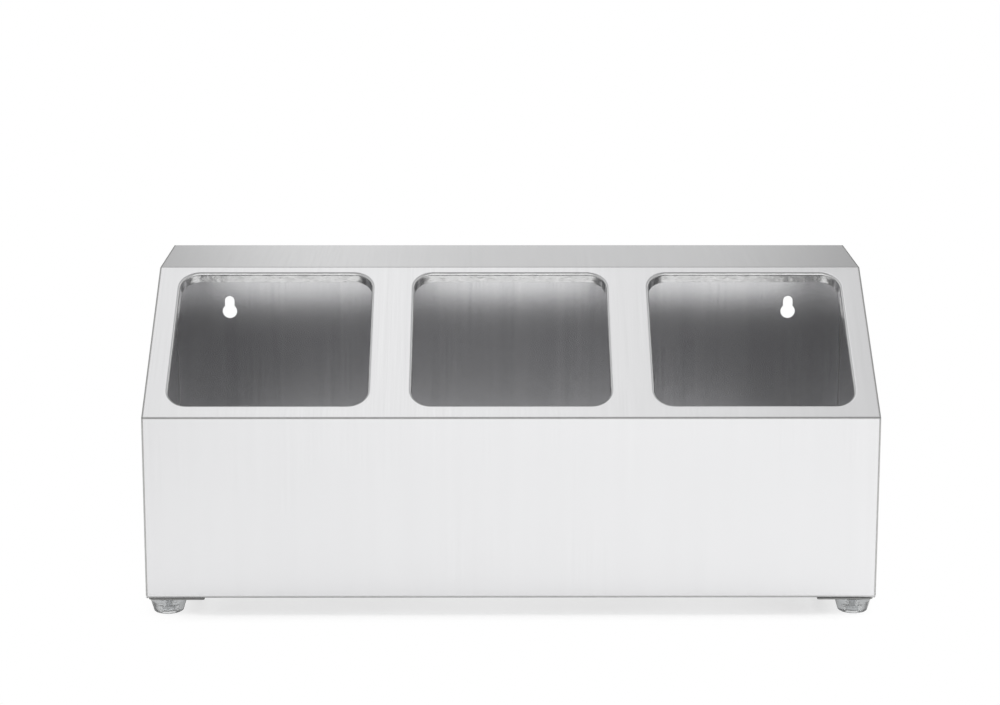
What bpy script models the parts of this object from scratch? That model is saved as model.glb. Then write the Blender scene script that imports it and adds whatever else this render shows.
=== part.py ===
"""Rack for three sixth-size gastronorm pans, folded and welded from stainless sheet, on rubber feet.

Metres, +Z up, the front face towards -Y. The origin lies on the surface that the feet stand on, under the
middle of the rack. The sheet pieces are drawn as their outer faces and thickened inwards.
"""

import math

import bmesh
import bpy
from mathutils import Matrix, Vector

# Gaps between pieces that touch: a welded or pressed seat, and round a screw
SEAT_GAP = 0.0003
SCREW_CLEARANCE = 0.0003

# Sheet
SHEET = 0.0010
BEND_RADIUS = 0.0020
FLANGE_WIDTH = 0.0100
RELIEF_WIDTH = 0.0010

# Pan openings in the sloping deck, measured between the straight walls of the drawn rims
OPENING_COUNT = 3
OPENING_WIDTH = 0.1520
OPENING_LENGTH = 0.1380
OPENING_CORNER_RADIUS = 0.0150
RIM_BEND_RADIUS = 0.0025
RIM_DEPTH = 0.0100
BRIDGE_WIDTH = 0.0290
END_MARGIN = 0.0155
LOWER_MARGIN = 0.0106
UPPER_MARGIN = 0.0049

# Body, from the bottom edge of the front to the lower fold, and from the upper fold to the back
FRONT_HEIGHT = 0.1430
DECK_ANGLE = math.radians(34.5)
TOP_DEPTH = 0.0920

# Keyholes for hanging the rack on a wall: a round mouth, and a narrower slot above it
KEYHOLE_SPACING = 0.4690
KEYHOLE_DROP = 0.0563
KEYHOLE_RISE = 0.0090
KEYHOLE_MOUTH_RADIUS = 0.0060
KEYHOLE_SLOT_RADIUS = 0.0040

# Corner plates under the flanges
PLATE_SIDE = 0.0430
PLATE_THICKNESS = 0.0015
PLATE_SETBACK = 0.0015
PLATE_OUTER_CORNER_RADIUS = 0.0040
PLATE_INNER_CORNER_RADIUS = 0.0015

# Rubber feet
FOOT_HEIGHT = 0.0120
FOOT_TOP_RADIUS = 0.0140
FOOT_BOTTOM_RADIUS = 0.0108
FOOT_COLLAR_HEIGHT = 0.0026
FOOT_EDGE_RADIUS = 0.0012

# M5 pan-head screw, washer and nut that hold a foot
SHANK_RADIUS = 0.0025
HEAD_RADIUS = 0.00475
HEAD_HEIGHT = 0.0033
HEAD_EDGE_HEIGHT = 0.0014
HEAD_LIFT = 0.0010
SCREW_PROTRUSION = 0.0020
SCREW_TIP_CHAMFER = 0.0006
RECESS_WIDTH = 0.0012
RECESS_LENGTH = 0.0052
RECESS_DEPTH = 0.0018
WASHER_RADIUS = 0.0050
WASHER_THICKNESS = 0.0010
NUT_ACROSS_FLATS = 0.0080
NUT_HEIGHT = 0.0040
NUT_CHAMFER = 0.0004
NUT_CLEARANCE = 0.0009

# Steps along each curve
BEND_STEPS = 5
RIM_STEPS = 4
CORNER_STEPS = 8
KEYHOLE_STEPS = 16
FOOT_STEPS = 32
FASTENER_STEPS = 24

# Sizes that follow
RACK_WIDTH = (
    2 * END_MARGIN
    + OPENING_COUNT * (OPENING_WIDTH + 2 * RIM_BEND_RADIUS)
    + (OPENING_COUNT - 1) * BRIDGE_WIDTH
)
OPENING_PITCH = OPENING_WIDTH + 2 * RIM_BEND_RADIUS + BRIDGE_WIDTH
DECK_LENGTH = LOWER_MARGIN + OPENING_LENGTH + 2 * RIM_BEND_RADIUS + UPPER_MARGIN
RACK_DEPTH = DECK_LENGTH * math.cos(DECK_ANGLE) + TOP_DEPTH
BODY_HEIGHT = FRONT_HEIGHT + DECK_LENGTH * math.sin(DECK_ANGLE)
SHELL_WIDTH = RACK_WIDTH - 2 * (SHEET + SEAT_GAP)
NUT_CORNER_RADIUS = NUT_ACROSS_FLATS / math.sqrt(3)
FOOT_INSET = FLANGE_WIDTH + NUT_CLEARANCE + NUT_CORNER_RADIUS
HOLE_RADIUS = SHANK_RADIUS + SCREW_CLEARANCE
WASHER_TOP = HEAD_LIFT + HEAD_HEIGHT + SEAT_GAP + WASHER_THICKNESS
FOOT_BORE_TOP = WASHER_TOP + SEAT_GAP
PLATE_TOP = FOOT_HEIGHT + SEAT_GAP + PLATE_THICKNESS
BODY_BASE = PLATE_TOP + SEAT_GAP
NUT_BASE = PLATE_TOP + SEAT_GAP
SCREW_TOP = NUT_BASE + NUT_HEIGHT + SCREW_PROTRUSION

# Outer corners of the folded shell in its (y, z) section, from the front flange to the back of the top
FRONT_Y = -RACK_DEPTH / 2
BACK_Y = RACK_DEPTH / 2
FRONT_FLANGE_END = Vector((FRONT_Y + FLANGE_WIDTH, 0))
FRONT_FOOT = Vector((FRONT_Y, 0))
LOWER_FOLD = Vector((FRONT_Y, FRONT_HEIGHT))
UPPER_FOLD = Vector((BACK_Y - TOP_DEPTH, BODY_HEIGHT))
TOP_BACK = Vector((BACK_Y, BODY_HEIGHT))
BACK_FOOT = Vector((BACK_Y, 0))
BACK_FLANGE_END = Vector((BACK_Y - FLANGE_WIDTH, 0))


def clear_scene():
    """Remove every object of the scene that the script starts in."""
    for thing in list(bpy.data.objects):
        bpy.data.objects.remove(thing, do_unlink=True)


def finish(name, colour, roughness, metallic, transmission=0.0):
    """Make a material of one colour."""
    material = bpy.data.materials.new(name)
    material.use_nodes = True
    shader = material.node_tree.nodes["Principled BSDF"]
    shader.inputs["Base Color"].default_value = (*colour, 1.0)
    shader.inputs["Roughness"].default_value = roughness
    shader.inputs["Metallic"].default_value = metallic
    shader.inputs["Transmission Weight"].default_value = transmission
    return material


def holder(name, location, parent=None):
    """Add an empty that carries pieces."""
    empty = bpy.data.objects.new(name, None)
    empty.location = location
    empty.parent = parent
    bpy.context.scene.collection.objects.link(empty)
    return empty


def piece(name, mesh, material, parent):
    """Add an object for a mesh, carried by an empty."""
    thing = bpy.data.objects.new(name, mesh)
    thing.parent = parent
    if not mesh.materials:
        mesh.materials.append(material)
    bpy.context.scene.collection.objects.link(thing)
    return thing


def mesh_from(shape, name, smooth_angle=math.radians(35)):
    """Turn a bmesh into a mesh that is smooth wherever its faces meet at less than the angle."""
    mesh = bpy.data.meshes.new(name)
    shape.to_mesh(mesh)
    shape.free()
    mesh.shade_smooth()
    mesh.set_sharp_from_angle(angle=smooth_angle)
    return mesh


def arc_through(before, corner, after, radius, steps):
    """Round the corner between two edges, and give the points of the arc in order."""
    arriving = (corner - before).normalized()
    leaving = (after - corner).normalized()
    turn = arriving.angle(leaving)
    side = 1 if arriving.cross(leaving) > 0 else -1
    start = corner - arriving * radius * math.tan(turn / 2)
    centre = start + side * radius * Vector((-arriving.y, arriving.x))
    return [
        centre + Matrix.Rotation(side * turn * step / steps, 2) @ (start - centre)
        for step in range(steps + 1)
    ]


def rounded_rectangle(width, length, radius, steps):
    """Points of a rounded rectangle about the origin, anticlockwise."""
    points = []
    for quarter in range(4):
        across = 1 if quarter in (0, 3) else -1
        along = 1 if quarter in (0, 1) else -1
        centre = Vector((across * (width / 2 - radius), along * (length / 2 - radius)))
        for step in range(steps + 1):
            angle = math.radians(90) * (quarter + step / steps)
            points.append(centre + radius * Vector((math.cos(angle), math.sin(angle))))
    return points


def closed_loop(shape, points):
    """Add points to a bmesh and join them by a ring of edges."""
    corners = [shape.verts.new(point) for point in points]
    edges = [
        shape.edges.new((corner, corners[(i + 1) % len(corners)]))
        for i, corner in enumerate(corners)
    ]
    return corners, edges


def edge_between(shape, first, second):
    """Give the edge between two points, and make it where there is none."""
    return shape.edges.get((first, second)) or shape.edges.new((first, second))


def fill_flat(shape, edges, normal):
    """Fill a flat outline, leaving the outlines inside it open."""
    bmesh.ops.triangle_fill(shape, edges=edges, use_beauty=True, normal=normal)


def strip_between(shape, first, second, closed=False):
    """Join two rows of points by a row of four-sided faces."""
    count = len(first)
    for i in range(count if closed else count - 1):
        j = (i + 1) % count
        shape.faces.new((first[i], first[j], second[j], second[i]))


def sheet_piece(name, shape, outward, thickness, material, parent):
    """Add a sheet whose outer face is the bmesh, thickened away from the outward side."""
    bmesh.ops.recalc_face_normals(shape, faces=shape.faces[:])
    largest = max(shape.faces, key=lambda face: face.calc_area())
    if largest.normal.dot(Vector(outward)) < 0:
        bmesh.ops.reverse_faces(shape, faces=shape.faces[:])
    sheet = piece(name, mesh_from(shape, name), material, parent)
    solid = sheet.modifiers.new("sheet", "SOLIDIFY")
    solid.thickness = thickness
    solid.offset = -1
    solid.use_even_offset = True
    return sheet


def turned_mesh(name, profile, steps, bored=False):
    """Turn a profile of (radius, height) points about the Z axis. A bored profile closes on itself."""
    shape = bmesh.new()
    corners = [shape.verts.new((radius, 0, height)) for radius, height in profile]
    for first, second in zip(corners, corners[1:]):
        shape.edges.new((first, second))
    if bored:
        shape.edges.new((corners[-1], corners[0]))
    bmesh.ops.spin(
        shape,
        geom=shape.verts[:] + shape.edges[:],
        cent=(0, 0, 0),
        axis=(0, 0, 1),
        angle=2 * math.pi,
        steps=steps,
    )
    bmesh.ops.remove_doubles(shape, verts=shape.verts[:], dist=1e-6)
    bmesh.ops.recalc_face_normals(shape, faces=shape.faces[:])
    return mesh_from(shape, name)


def prism_mesh(name, points, bottom, top):
    """Raise an outline in the XY plane into a prism."""
    shape = bmesh.new()
    base = shape.faces.new([shape.verts.new((*point, bottom)) for point in points])
    raised = bmesh.ops.extrude_face_region(shape, geom=[base])
    bmesh.ops.translate(
        shape,
        vec=(0, 0, top - bottom),
        verts=[corner for corner in raised["geom"] if isinstance(corner, bmesh.types.BMVert)],
    )
    bmesh.ops.recalc_face_normals(shape, faces=shape.faces[:])
    return mesh_from(shape, name)


def cutter(name, mesh, parent):
    """Add a helper solid that only shapes other pieces."""
    tool = bpy.data.objects.new(name, mesh)
    tool.parent = parent
    tool.hide_render = True
    tool.display_type = "WIRE"
    bpy.context.scene.collection.objects.link(tool)
    return tool


def shape_with(target, tool, operation):
    """Cut a piece with a helper solid, or keep only what both share."""
    boolean = target.modifiers.new(tool.name, "BOOLEAN")
    boolean.operation = operation
    boolean.object = tool
    boolean.solver = "EXACT"


def deck_point(across, along, depth):
    """Place a point by its way across from the middle, up the slope from the lower fold, and below it."""
    return Vector(
        (
            across,
            LOWER_FOLD.x + along * math.cos(DECK_ANGLE) + depth * math.sin(DECK_ANGLE),
            LOWER_FOLD.y + along * math.sin(DECK_ANGLE) - depth * math.cos(DECK_ANGLE),
        )
    )


def drawn_rim(shape, centre):
    """Add the drawn rim of one pan opening, and give the edges where it leaves the deck's face."""
    middle = LOWER_MARGIN + RIM_BEND_RADIUS + OPENING_LENGTH / 2
    levels = []
    for step in range(RIM_STEPS + 1):
        angle = math.radians(90) * step / RIM_STEPS
        levels.append((RIM_BEND_RADIUS * (1 - math.sin(angle)), RIM_BEND_RADIUS * (1 - math.cos(angle))))
    levels.append((0, RIM_DEPTH))
    rings = []
    for spread, depth in levels:
        outline = rounded_rectangle(
            OPENING_WIDTH + 2 * spread,
            OPENING_LENGTH + 2 * spread,
            OPENING_CORNER_RADIUS + spread,
            CORNER_STEPS,
        )
        points = [deck_point(centre + point.x, middle + point.y, depth) for point in outline]
        rings.append(closed_loop(shape, points))
    for (upper, _), (lower, _) in zip(rings, rings[1:]):
        strip_between(shape, upper, lower, closed=True)
    return rings[0][1]


def folded_shell(material, parent):
    """Front, sloping deck with its drawn rims, and top, folded from one sheet."""
    section = [FRONT_FLANGE_END]
    corners = [FRONT_FLANGE_END, FRONT_FOOT, LOWER_FOLD, UPPER_FOLD, TOP_BACK]
    for before, corner, after in zip(corners, corners[1:], corners[2:]):
        section += arc_through(before, corner, after, BEND_RADIUS, BEND_STEPS)
    section.append(TOP_BACK)
    deck_start = 2 * (BEND_STEPS + 1)
    shape = bmesh.new()
    ends = [
        [shape.verts.new((x, point.x, point.y)) for point in section]
        for x in (-SHELL_WIDTH / 2, SHELL_WIDTH / 2)
    ]
    left, right = ends
    strip_between(shape, left[: deck_start + 1], right[: deck_start + 1])
    strip_between(shape, left[deck_start + 1 :], right[deck_start + 1 :])
    deck_edges = [edge_between(shape, row[deck_start], row[deck_start + 1]) for row in ends]
    deck_edges += [edge_between(shape, left[i], right[i]) for i in (deck_start, deck_start + 1)]
    for number in range(OPENING_COUNT):
        deck_edges += drawn_rim(shape, (number - (OPENING_COUNT - 1) / 2) * OPENING_PITCH)
    deck_normal = (0, -math.sin(DECK_ANGLE), math.cos(DECK_ANGLE))
    fill_flat(shape, deck_edges, deck_normal)
    return sheet_piece("folded_shell", shape, (0, -1, 0), SHEET, material, parent)


def keyhole_outline(centre_x):
    """Points of a keyhole in the back panel's (x, z) plane: a round mouth with a slot above it."""
    mouth = Vector((centre_x, BODY_HEIGHT - KEYHOLE_DROP))
    slot = mouth + Vector((0, KEYHOLE_RISE))
    neck = math.asin(KEYHOLE_SLOT_RADIUS / KEYHOLE_MOUTH_RADIUS)
    points = []
    for step in range(KEYHOLE_STEPS + 1):
        angle = math.pi / 2 + neck + (2 * math.pi - 2 * neck) * step / KEYHOLE_STEPS
        points.append(mouth + KEYHOLE_MOUTH_RADIUS * Vector((math.cos(angle), math.sin(angle))))
    for step in range(KEYHOLE_STEPS // 2 + 1):
        angle = math.pi * step / (KEYHOLE_STEPS // 2)
        points.append(slot + KEYHOLE_SLOT_RADIUS * Vector((math.cos(angle), math.sin(angle))))
    return points


def back_panel(material, parent):
    """Back sheet with two keyholes, under the shell's top and between the end panels."""
    top = Vector((BACK_Y, BODY_HEIGHT - SHEET - SEAT_GAP))
    section = [top, *arc_through(top, BACK_FOOT, BACK_FLANGE_END, BEND_RADIUS, BEND_STEPS), BACK_FLANGE_END]
    shape = bmesh.new()
    left, right = (
        [shape.verts.new((x, point.x, point.y)) for point in section]
        for x in (-SHELL_WIDTH / 2, SHELL_WIDTH / 2)
    )
    strip_between(shape, left[1:], right[1:])
    outline = [
        edge_between(shape, left[0], left[1]),
        edge_between(shape, right[0], right[1]),
        edge_between(shape, left[0], right[0]),
        edge_between(shape, left[1], right[1]),
    ]
    for side in (-1, 1):
        points = [(point.x, BACK_Y, point.y) for point in keyhole_outline(side * KEYHOLE_SPACING / 2)]
        outline += closed_loop(shape, points)[1]
    fill_flat(shape, outline, (0, 1, 0))
    return sheet_piece("back_panel", shape, (0, 1, 0), SHEET, material, parent)


def end_panel(name, side, material, parent):
    """Flat end sheet that closes the shell, with a relief slot at each end of its bottom flange."""
    outer_x = side * RACK_WIDTH / 2
    flange_front = FRONT_Y + FLANGE_WIDTH + SEAT_GAP
    flange_back = BACK_Y - FLANGE_WIDTH - SEAT_GAP
    relief_top = BEND_RADIUS + RELIEF_WIDTH
    outline = [
        Vector((flange_front, BEND_RADIUS)),
        Vector((flange_front, relief_top)),
        Vector((flange_front - RELIEF_WIDTH, relief_top)),
        Vector((flange_front - RELIEF_WIDTH, 0)),
        *arc_through(BACK_FOOT, FRONT_FOOT, LOWER_FOLD, BEND_RADIUS, BEND_STEPS),
        *arc_through(FRONT_FOOT, LOWER_FOLD, UPPER_FOLD, BEND_RADIUS, BEND_STEPS),
        *arc_through(LOWER_FOLD, UPPER_FOLD, TOP_BACK, BEND_RADIUS, BEND_STEPS),
        TOP_BACK,
        *arc_through(TOP_BACK, BACK_FOOT, FRONT_FOOT, BEND_RADIUS, BEND_STEPS),
        Vector((flange_back + RELIEF_WIDTH, 0)),
        Vector((flange_back + RELIEF_WIDTH, relief_top)),
        Vector((flange_back, relief_top)),
        Vector((flange_back, BEND_RADIUS)),
    ]
    shape = bmesh.new()
    corners, edges = closed_loop(shape, [(outer_x, point.x, point.y) for point in outline])
    fill_flat(shape, edges, (side, 0, 0))
    rows = []
    for start in (corners[0], corners[-1]):
        flat_end = Vector((outer_x - side * FLANGE_WIDTH, 0))
        bend = arc_through(
            Vector((outer_x, BEND_RADIUS)), Vector((outer_x, 0)), flat_end, BEND_RADIUS, BEND_STEPS
        )
        points = [*bend[1:], flat_end]
        rows.append([start] + [shape.verts.new((point.x, start.co.y, point.y)) for point in points])
    strip_between(shape, *rows)
    return sheet_piece(name, shape, (side, 0, 0), SHEET, material, parent)


def corner_plate(name, across, along, material, parent):
    """Plate welded under a corner of the flanges, drawn about the screw that it is pierced for."""
    near = FOOT_INSET - PLATE_SETBACK
    far = near - PLATE_SIDE
    places = ((near, near), (far, near), (far, far), (near, far))
    square = [Vector((across * x, along * y)) for x, y in places]
    outline = []
    for i, corner in enumerate(square):
        radius = PLATE_OUTER_CORNER_RADIUS if i == 0 else PLATE_INNER_CORNER_RADIUS
        outline += arc_through(square[i - 1], corner, square[(i + 1) % 4], radius, BEND_STEPS)
    shape = bmesh.new()
    edges = closed_loop(shape, [(point.x, point.y, PLATE_TOP) for point in outline])[1]
    turns = [2 * math.pi * step / FASTENER_STEPS for step in range(FASTENER_STEPS)]
    hole = [(HOLE_RADIUS * math.cos(turn), HOLE_RADIUS * math.sin(turn), PLATE_TOP) for turn in turns]
    edges += closed_loop(shape, hole)[1]
    fill_flat(shape, edges, (0, 0, 1))
    return sheet_piece(name, shape, (0, 0, 1), PLATE_THICKNESS, material, parent)


def foot_mesh():
    """Tapered rubber foot, bored for the screw and recessed from below for its head and washer."""
    recess = WASHER_RADIUS + SCREW_CLEARANCE
    collar = FOOT_HEIGHT - FOOT_COLLAR_HEIGHT
    outer_bottom = Vector((FOOT_BOTTOM_RADIUS, 0))
    edge = arc_through(
        Vector((recess, 0)), outer_bottom, Vector((FOOT_TOP_RADIUS, collar)), FOOT_EDGE_RADIUS, BEND_STEPS
    )
    profile = [
        (recess, 0),
        *edge,
        (FOOT_TOP_RADIUS, collar),
        (FOOT_TOP_RADIUS, FOOT_HEIGHT),
        (HOLE_RADIUS, FOOT_HEIGHT),
        (HOLE_RADIUS, FOOT_BORE_TOP),
        (recess, FOOT_BORE_TOP),
    ]
    return turned_mesh("rubber_foot", profile, FOOT_STEPS, bored=True)


def screw_mesh():
    """Pan-head screw, head down, as a plain shank of its thread's outer size."""
    head_top = HEAD_LIFT + HEAD_HEIGHT
    rim = head_top - HEAD_EDGE_HEIGHT
    crown = [
        (HEAD_RADIUS * math.sin(turn), rim - (rim - HEAD_LIFT) * math.cos(turn))
        for turn in (math.radians(90) * step / BEND_STEPS for step in range(BEND_STEPS + 1))
    ]
    profile = [
        *crown,
        (HEAD_RADIUS, head_top),
        (SHANK_RADIUS, head_top),
        (SHANK_RADIUS, SCREW_TOP - SCREW_TIP_CHAMFER),
        (SHANK_RADIUS - SCREW_TIP_CHAMFER, SCREW_TOP),
        (0, SCREW_TOP),
    ]
    return turned_mesh("foot_screw", profile, FASTENER_STEPS)


def cross_recess_mesh():
    """Cutter for the driver's cross in the screw's head."""
    short, long = RECESS_WIDTH / 2, RECESS_LENGTH / 2
    quarter = [(long, -short), (long, short), (short, short)]
    points = []
    for turn in range(4):
        rotation = Matrix.Rotation(math.radians(90) * turn, 2)
        points += [rotation @ Vector(point) for point in quarter]
    return prism_mesh("cross_recess", points, 0, HEAD_LIFT + RECESS_DEPTH)


def washer_mesh():
    """Flat washer between the screw's head and the foot."""
    bottom = WASHER_TOP - WASHER_THICKNESS
    profile = [
        (HOLE_RADIUS, bottom),
        (WASHER_RADIUS, bottom),
        (WASHER_RADIUS, WASHER_TOP),
        (HOLE_RADIUS, WASHER_TOP),
    ]
    return turned_mesh("foot_washer", profile, FASTENER_STEPS, bored=True)


def nut_mesh():
    """Turned blank of the nut, chamfered at both ends, before its six flats are cut."""
    flat_radius = NUT_ACROSS_FLATS / 2
    top = NUT_BASE + NUT_HEIGHT
    profile = [
        (HOLE_RADIUS, NUT_BASE),
        (flat_radius, NUT_BASE),
        (NUT_CORNER_RADIUS, NUT_BASE + NUT_CHAMFER),
        (NUT_CORNER_RADIUS, top - NUT_CHAMFER),
        (flat_radius, top),
        (HOLE_RADIUS, top),
    ]
    return turned_mesh("foot_nut", profile, FASTENER_STEPS, bored=True)


def hexagon_mesh():
    """Six-sided prism that gives the nut its flats."""
    turns = [math.radians(60) * step for step in range(6)]
    points = [(NUT_CORNER_RADIUS * math.cos(turn), NUT_CORNER_RADIUS * math.sin(turn)) for turn in turns]
    return prism_mesh("nut_hexagon", points, NUT_BASE - SEAT_GAP, NUT_BASE + NUT_HEIGHT + SEAT_GAP)


def foot_set(name, across, along, meshes, materials, rack):
    """One corner's plate, rubber foot, screw, washer and nut."""
    place = (across * (RACK_WIDTH / 2 - FOOT_INSET), along * (RACK_DEPTH / 2 - FOOT_INSET), 0)
    corner = holder(f"{name}_corner", place, rack)
    corner_plate(f"corner_plate_{name}", across, along, materials["steel"], corner)
    piece(f"rubber_foot_{name}", meshes["foot"], materials["rubber"], corner)
    piece(f"foot_washer_{name}", meshes["washer"], materials["hardware"], corner)
    screw = piece(f"foot_screw_{name}", meshes["screw"], materials["hardware"], corner)
    shape_with(screw, cutter(f"cross_recess_{name}", meshes["recess"], corner), "DIFFERENCE")
    nut = piece(f"foot_nut_{name}", meshes["nut"], materials["hardware"], corner)
    shape_with(nut, cutter(f"nut_hexagon_{name}", meshes["hexagon"], corner), "INTERSECT")


def build_rack():
    """Build every piece of the rack."""
    clear_scene()
    materials = {
        "steel": finish("brushed_stainless_sheet", (0.56, 0.56, 0.57), 0.32, 1.0),
        "rubber": finish("translucent_foot_rubber", (0.42, 0.43, 0.44), 0.35, 0.0, 0.5),
        "hardware": finish("zinc_plated_steel", (0.46, 0.47, 0.49), 0.28, 1.0),
    }
    rack = holder("rack", (0, 0, 0))
    body = holder("rack_body", (0, 0, BODY_BASE), rack)
    folded_shell(materials["steel"], body)
    back_panel(materials["steel"], body)
    end_panel("left_end_panel", -1, materials["steel"], body)
    end_panel("right_end_panel", 1, materials["steel"], body)
    meshes = {
        "foot": foot_mesh(),
        "screw": screw_mesh(),
        "recess": cross_recess_mesh(),
        "washer": washer_mesh(),
        "nut": nut_mesh(),
        "hexagon": hexagon_mesh(),
    }
    for depth_name, along in (("front", -1), ("back", 1)):
        for side_name, across in (("left", -1), ("right", 1)):
            foot_set(f"{depth_name}_{side_name}", across, along, meshes, materials, rack)


build_rack()
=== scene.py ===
"""Looks of a folded and welded stainless rack for three sixth-size gastronorm pans, on rubber feet.

Metres, +Z up, the front face towards -Y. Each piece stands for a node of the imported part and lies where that
node lies. The sheet pieces are drawn as outer faces and thickened inwards, as the solids are.
"""

import logging
import math
from collections.abc import Callable
from dataclasses import dataclass
from enum import Enum
from itertools import product

import bmesh
import bpy
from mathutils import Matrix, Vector


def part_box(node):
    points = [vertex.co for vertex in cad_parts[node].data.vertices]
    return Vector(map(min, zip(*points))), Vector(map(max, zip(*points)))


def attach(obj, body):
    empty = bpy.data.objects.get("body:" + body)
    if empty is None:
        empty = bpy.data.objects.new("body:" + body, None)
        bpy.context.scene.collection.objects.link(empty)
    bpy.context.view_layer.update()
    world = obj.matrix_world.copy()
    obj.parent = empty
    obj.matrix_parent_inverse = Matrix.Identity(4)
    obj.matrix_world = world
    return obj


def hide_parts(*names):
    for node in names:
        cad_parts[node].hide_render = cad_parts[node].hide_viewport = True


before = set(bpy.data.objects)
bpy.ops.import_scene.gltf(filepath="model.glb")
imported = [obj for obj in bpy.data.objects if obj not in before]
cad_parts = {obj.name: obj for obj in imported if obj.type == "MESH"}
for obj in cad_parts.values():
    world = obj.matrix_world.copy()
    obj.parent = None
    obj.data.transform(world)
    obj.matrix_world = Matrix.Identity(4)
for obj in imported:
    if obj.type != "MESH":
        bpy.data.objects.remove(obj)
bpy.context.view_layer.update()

LOG = logging.getLogger("pan_rack")
BODY = "root"
PLACE_TOLERANCE = 0.00001
MERGE_DISTANCE = PLACE_TOLERANCE / 10
QUARTER_TURN = math.pi / 2
SMOOTH_ANGLE = math.radians(35)
SHARP_EDGE_ANGLE = math.radians(50)
# Cosine of the tilt from which a face no longer counts as part of the flat sheet
FLAT_LIMIT = 0.97


class Element(Enum):
    """Kinds of mesh element that an edit step works on."""

    VERTEX = "VERT"
    EDGE = "EDGE"
    FACE = "FACE"


class Slot(Enum):
    """Material slots of the record."""

    STAINLESS = "brushed_stainless"
    RUBBER = "clear_rubber"
    HARDWARE = "plated_hardware"


class Grain(Enum):
    """Axis across which the brushed lines of a sheet repeat."""

    ACROSS_X = "X"
    ACROSS_Y = "Y"


def linear_colour(code: str) -> tuple[float, float, float, float]:
    """Turn an sRGB hex colour into the linear values that shaders take.

    Args:
        code: Six hex digits after a hash sign.

    Returns:
        Red, green and blue as linear values, and an alpha of 1.
    """
    shares = [int(code[start : start + 2], 16) / 255 for start in (1, 3, 5)]
    red, green, blue = (
        share / 12.92 if share <= 0.04045 else ((share + 0.055) / 1.055) ** 2.4 for share in shares
    )
    return red, green, blue, 1.0


def add_node(
    tree: bpy.types.NodeTree, kind: str, settings: dict | None = None, links: dict | None = None
) -> bpy.types.Node:
    """Add a shader node, set it up and link its inputs.

    Args:
        tree: Node tree of the material or world.
        kind: Blender's name of the node's type.
        settings: Values by property name, or by the name or number of an input.
        links: Output sockets by the name or number of the input that each one feeds.

    Returns:
        The new node.
    """
    node = tree.nodes.new(kind)
    for name, value in (settings or {}).items():
        if isinstance(name, str) and hasattr(node, name):
            setattr(node, name, value)
        else:
            node.inputs[name].default_value = value
    for name, socket in (links or {}).items():
        tree.links.new(socket, node.inputs[name])
    return node


def empty_material(name: str) -> tuple[bpy.types.Material, bpy.types.NodeTree]:
    """Make a material with no nodes yet.

    Args:
        name: Name of the real material.

    Returns:
        The material and its node tree.
    """
    material = bpy.data.materials.new(name)
    material.use_nodes = True
    material.node_tree.nodes.clear()
    return material, material.node_tree


def add_clouds(
    tree: bpy.types.NodeTree, size: float, detail: float, dull: str, bright: str
) -> tuple[bpy.types.NodeSocket, bpy.types.NodeSocket]:
    """Let a colour change softly over the piece between two tones.

    Args:
        tree: Node tree of the material.
        size: Size of a cloud.
        detail: How far the clouds break up into smaller ones.
        dull: Colour where the clouds are thin.
        bright: Colour where the clouds are dense.

    Returns:
        Sockets with the clouds' density and with the colour.
    """
    place = add_node(tree, "ShaderNodeTexCoord")
    clouds = add_node(
        tree,
        "ShaderNodeTexNoise",
        {"Scale": 1 / size, "Detail": detail},
        {"Vector": place.outputs["Object"]},
    )
    density = clouds.outputs["Fac"]
    colour = add_node(
        tree,
        "ShaderNodeMix",
        {"data_type": "RGBA", 6: linear_colour(dull), 7: linear_colour(bright)},
        {0: density},
    )
    return density, colour.outputs[2]


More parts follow.
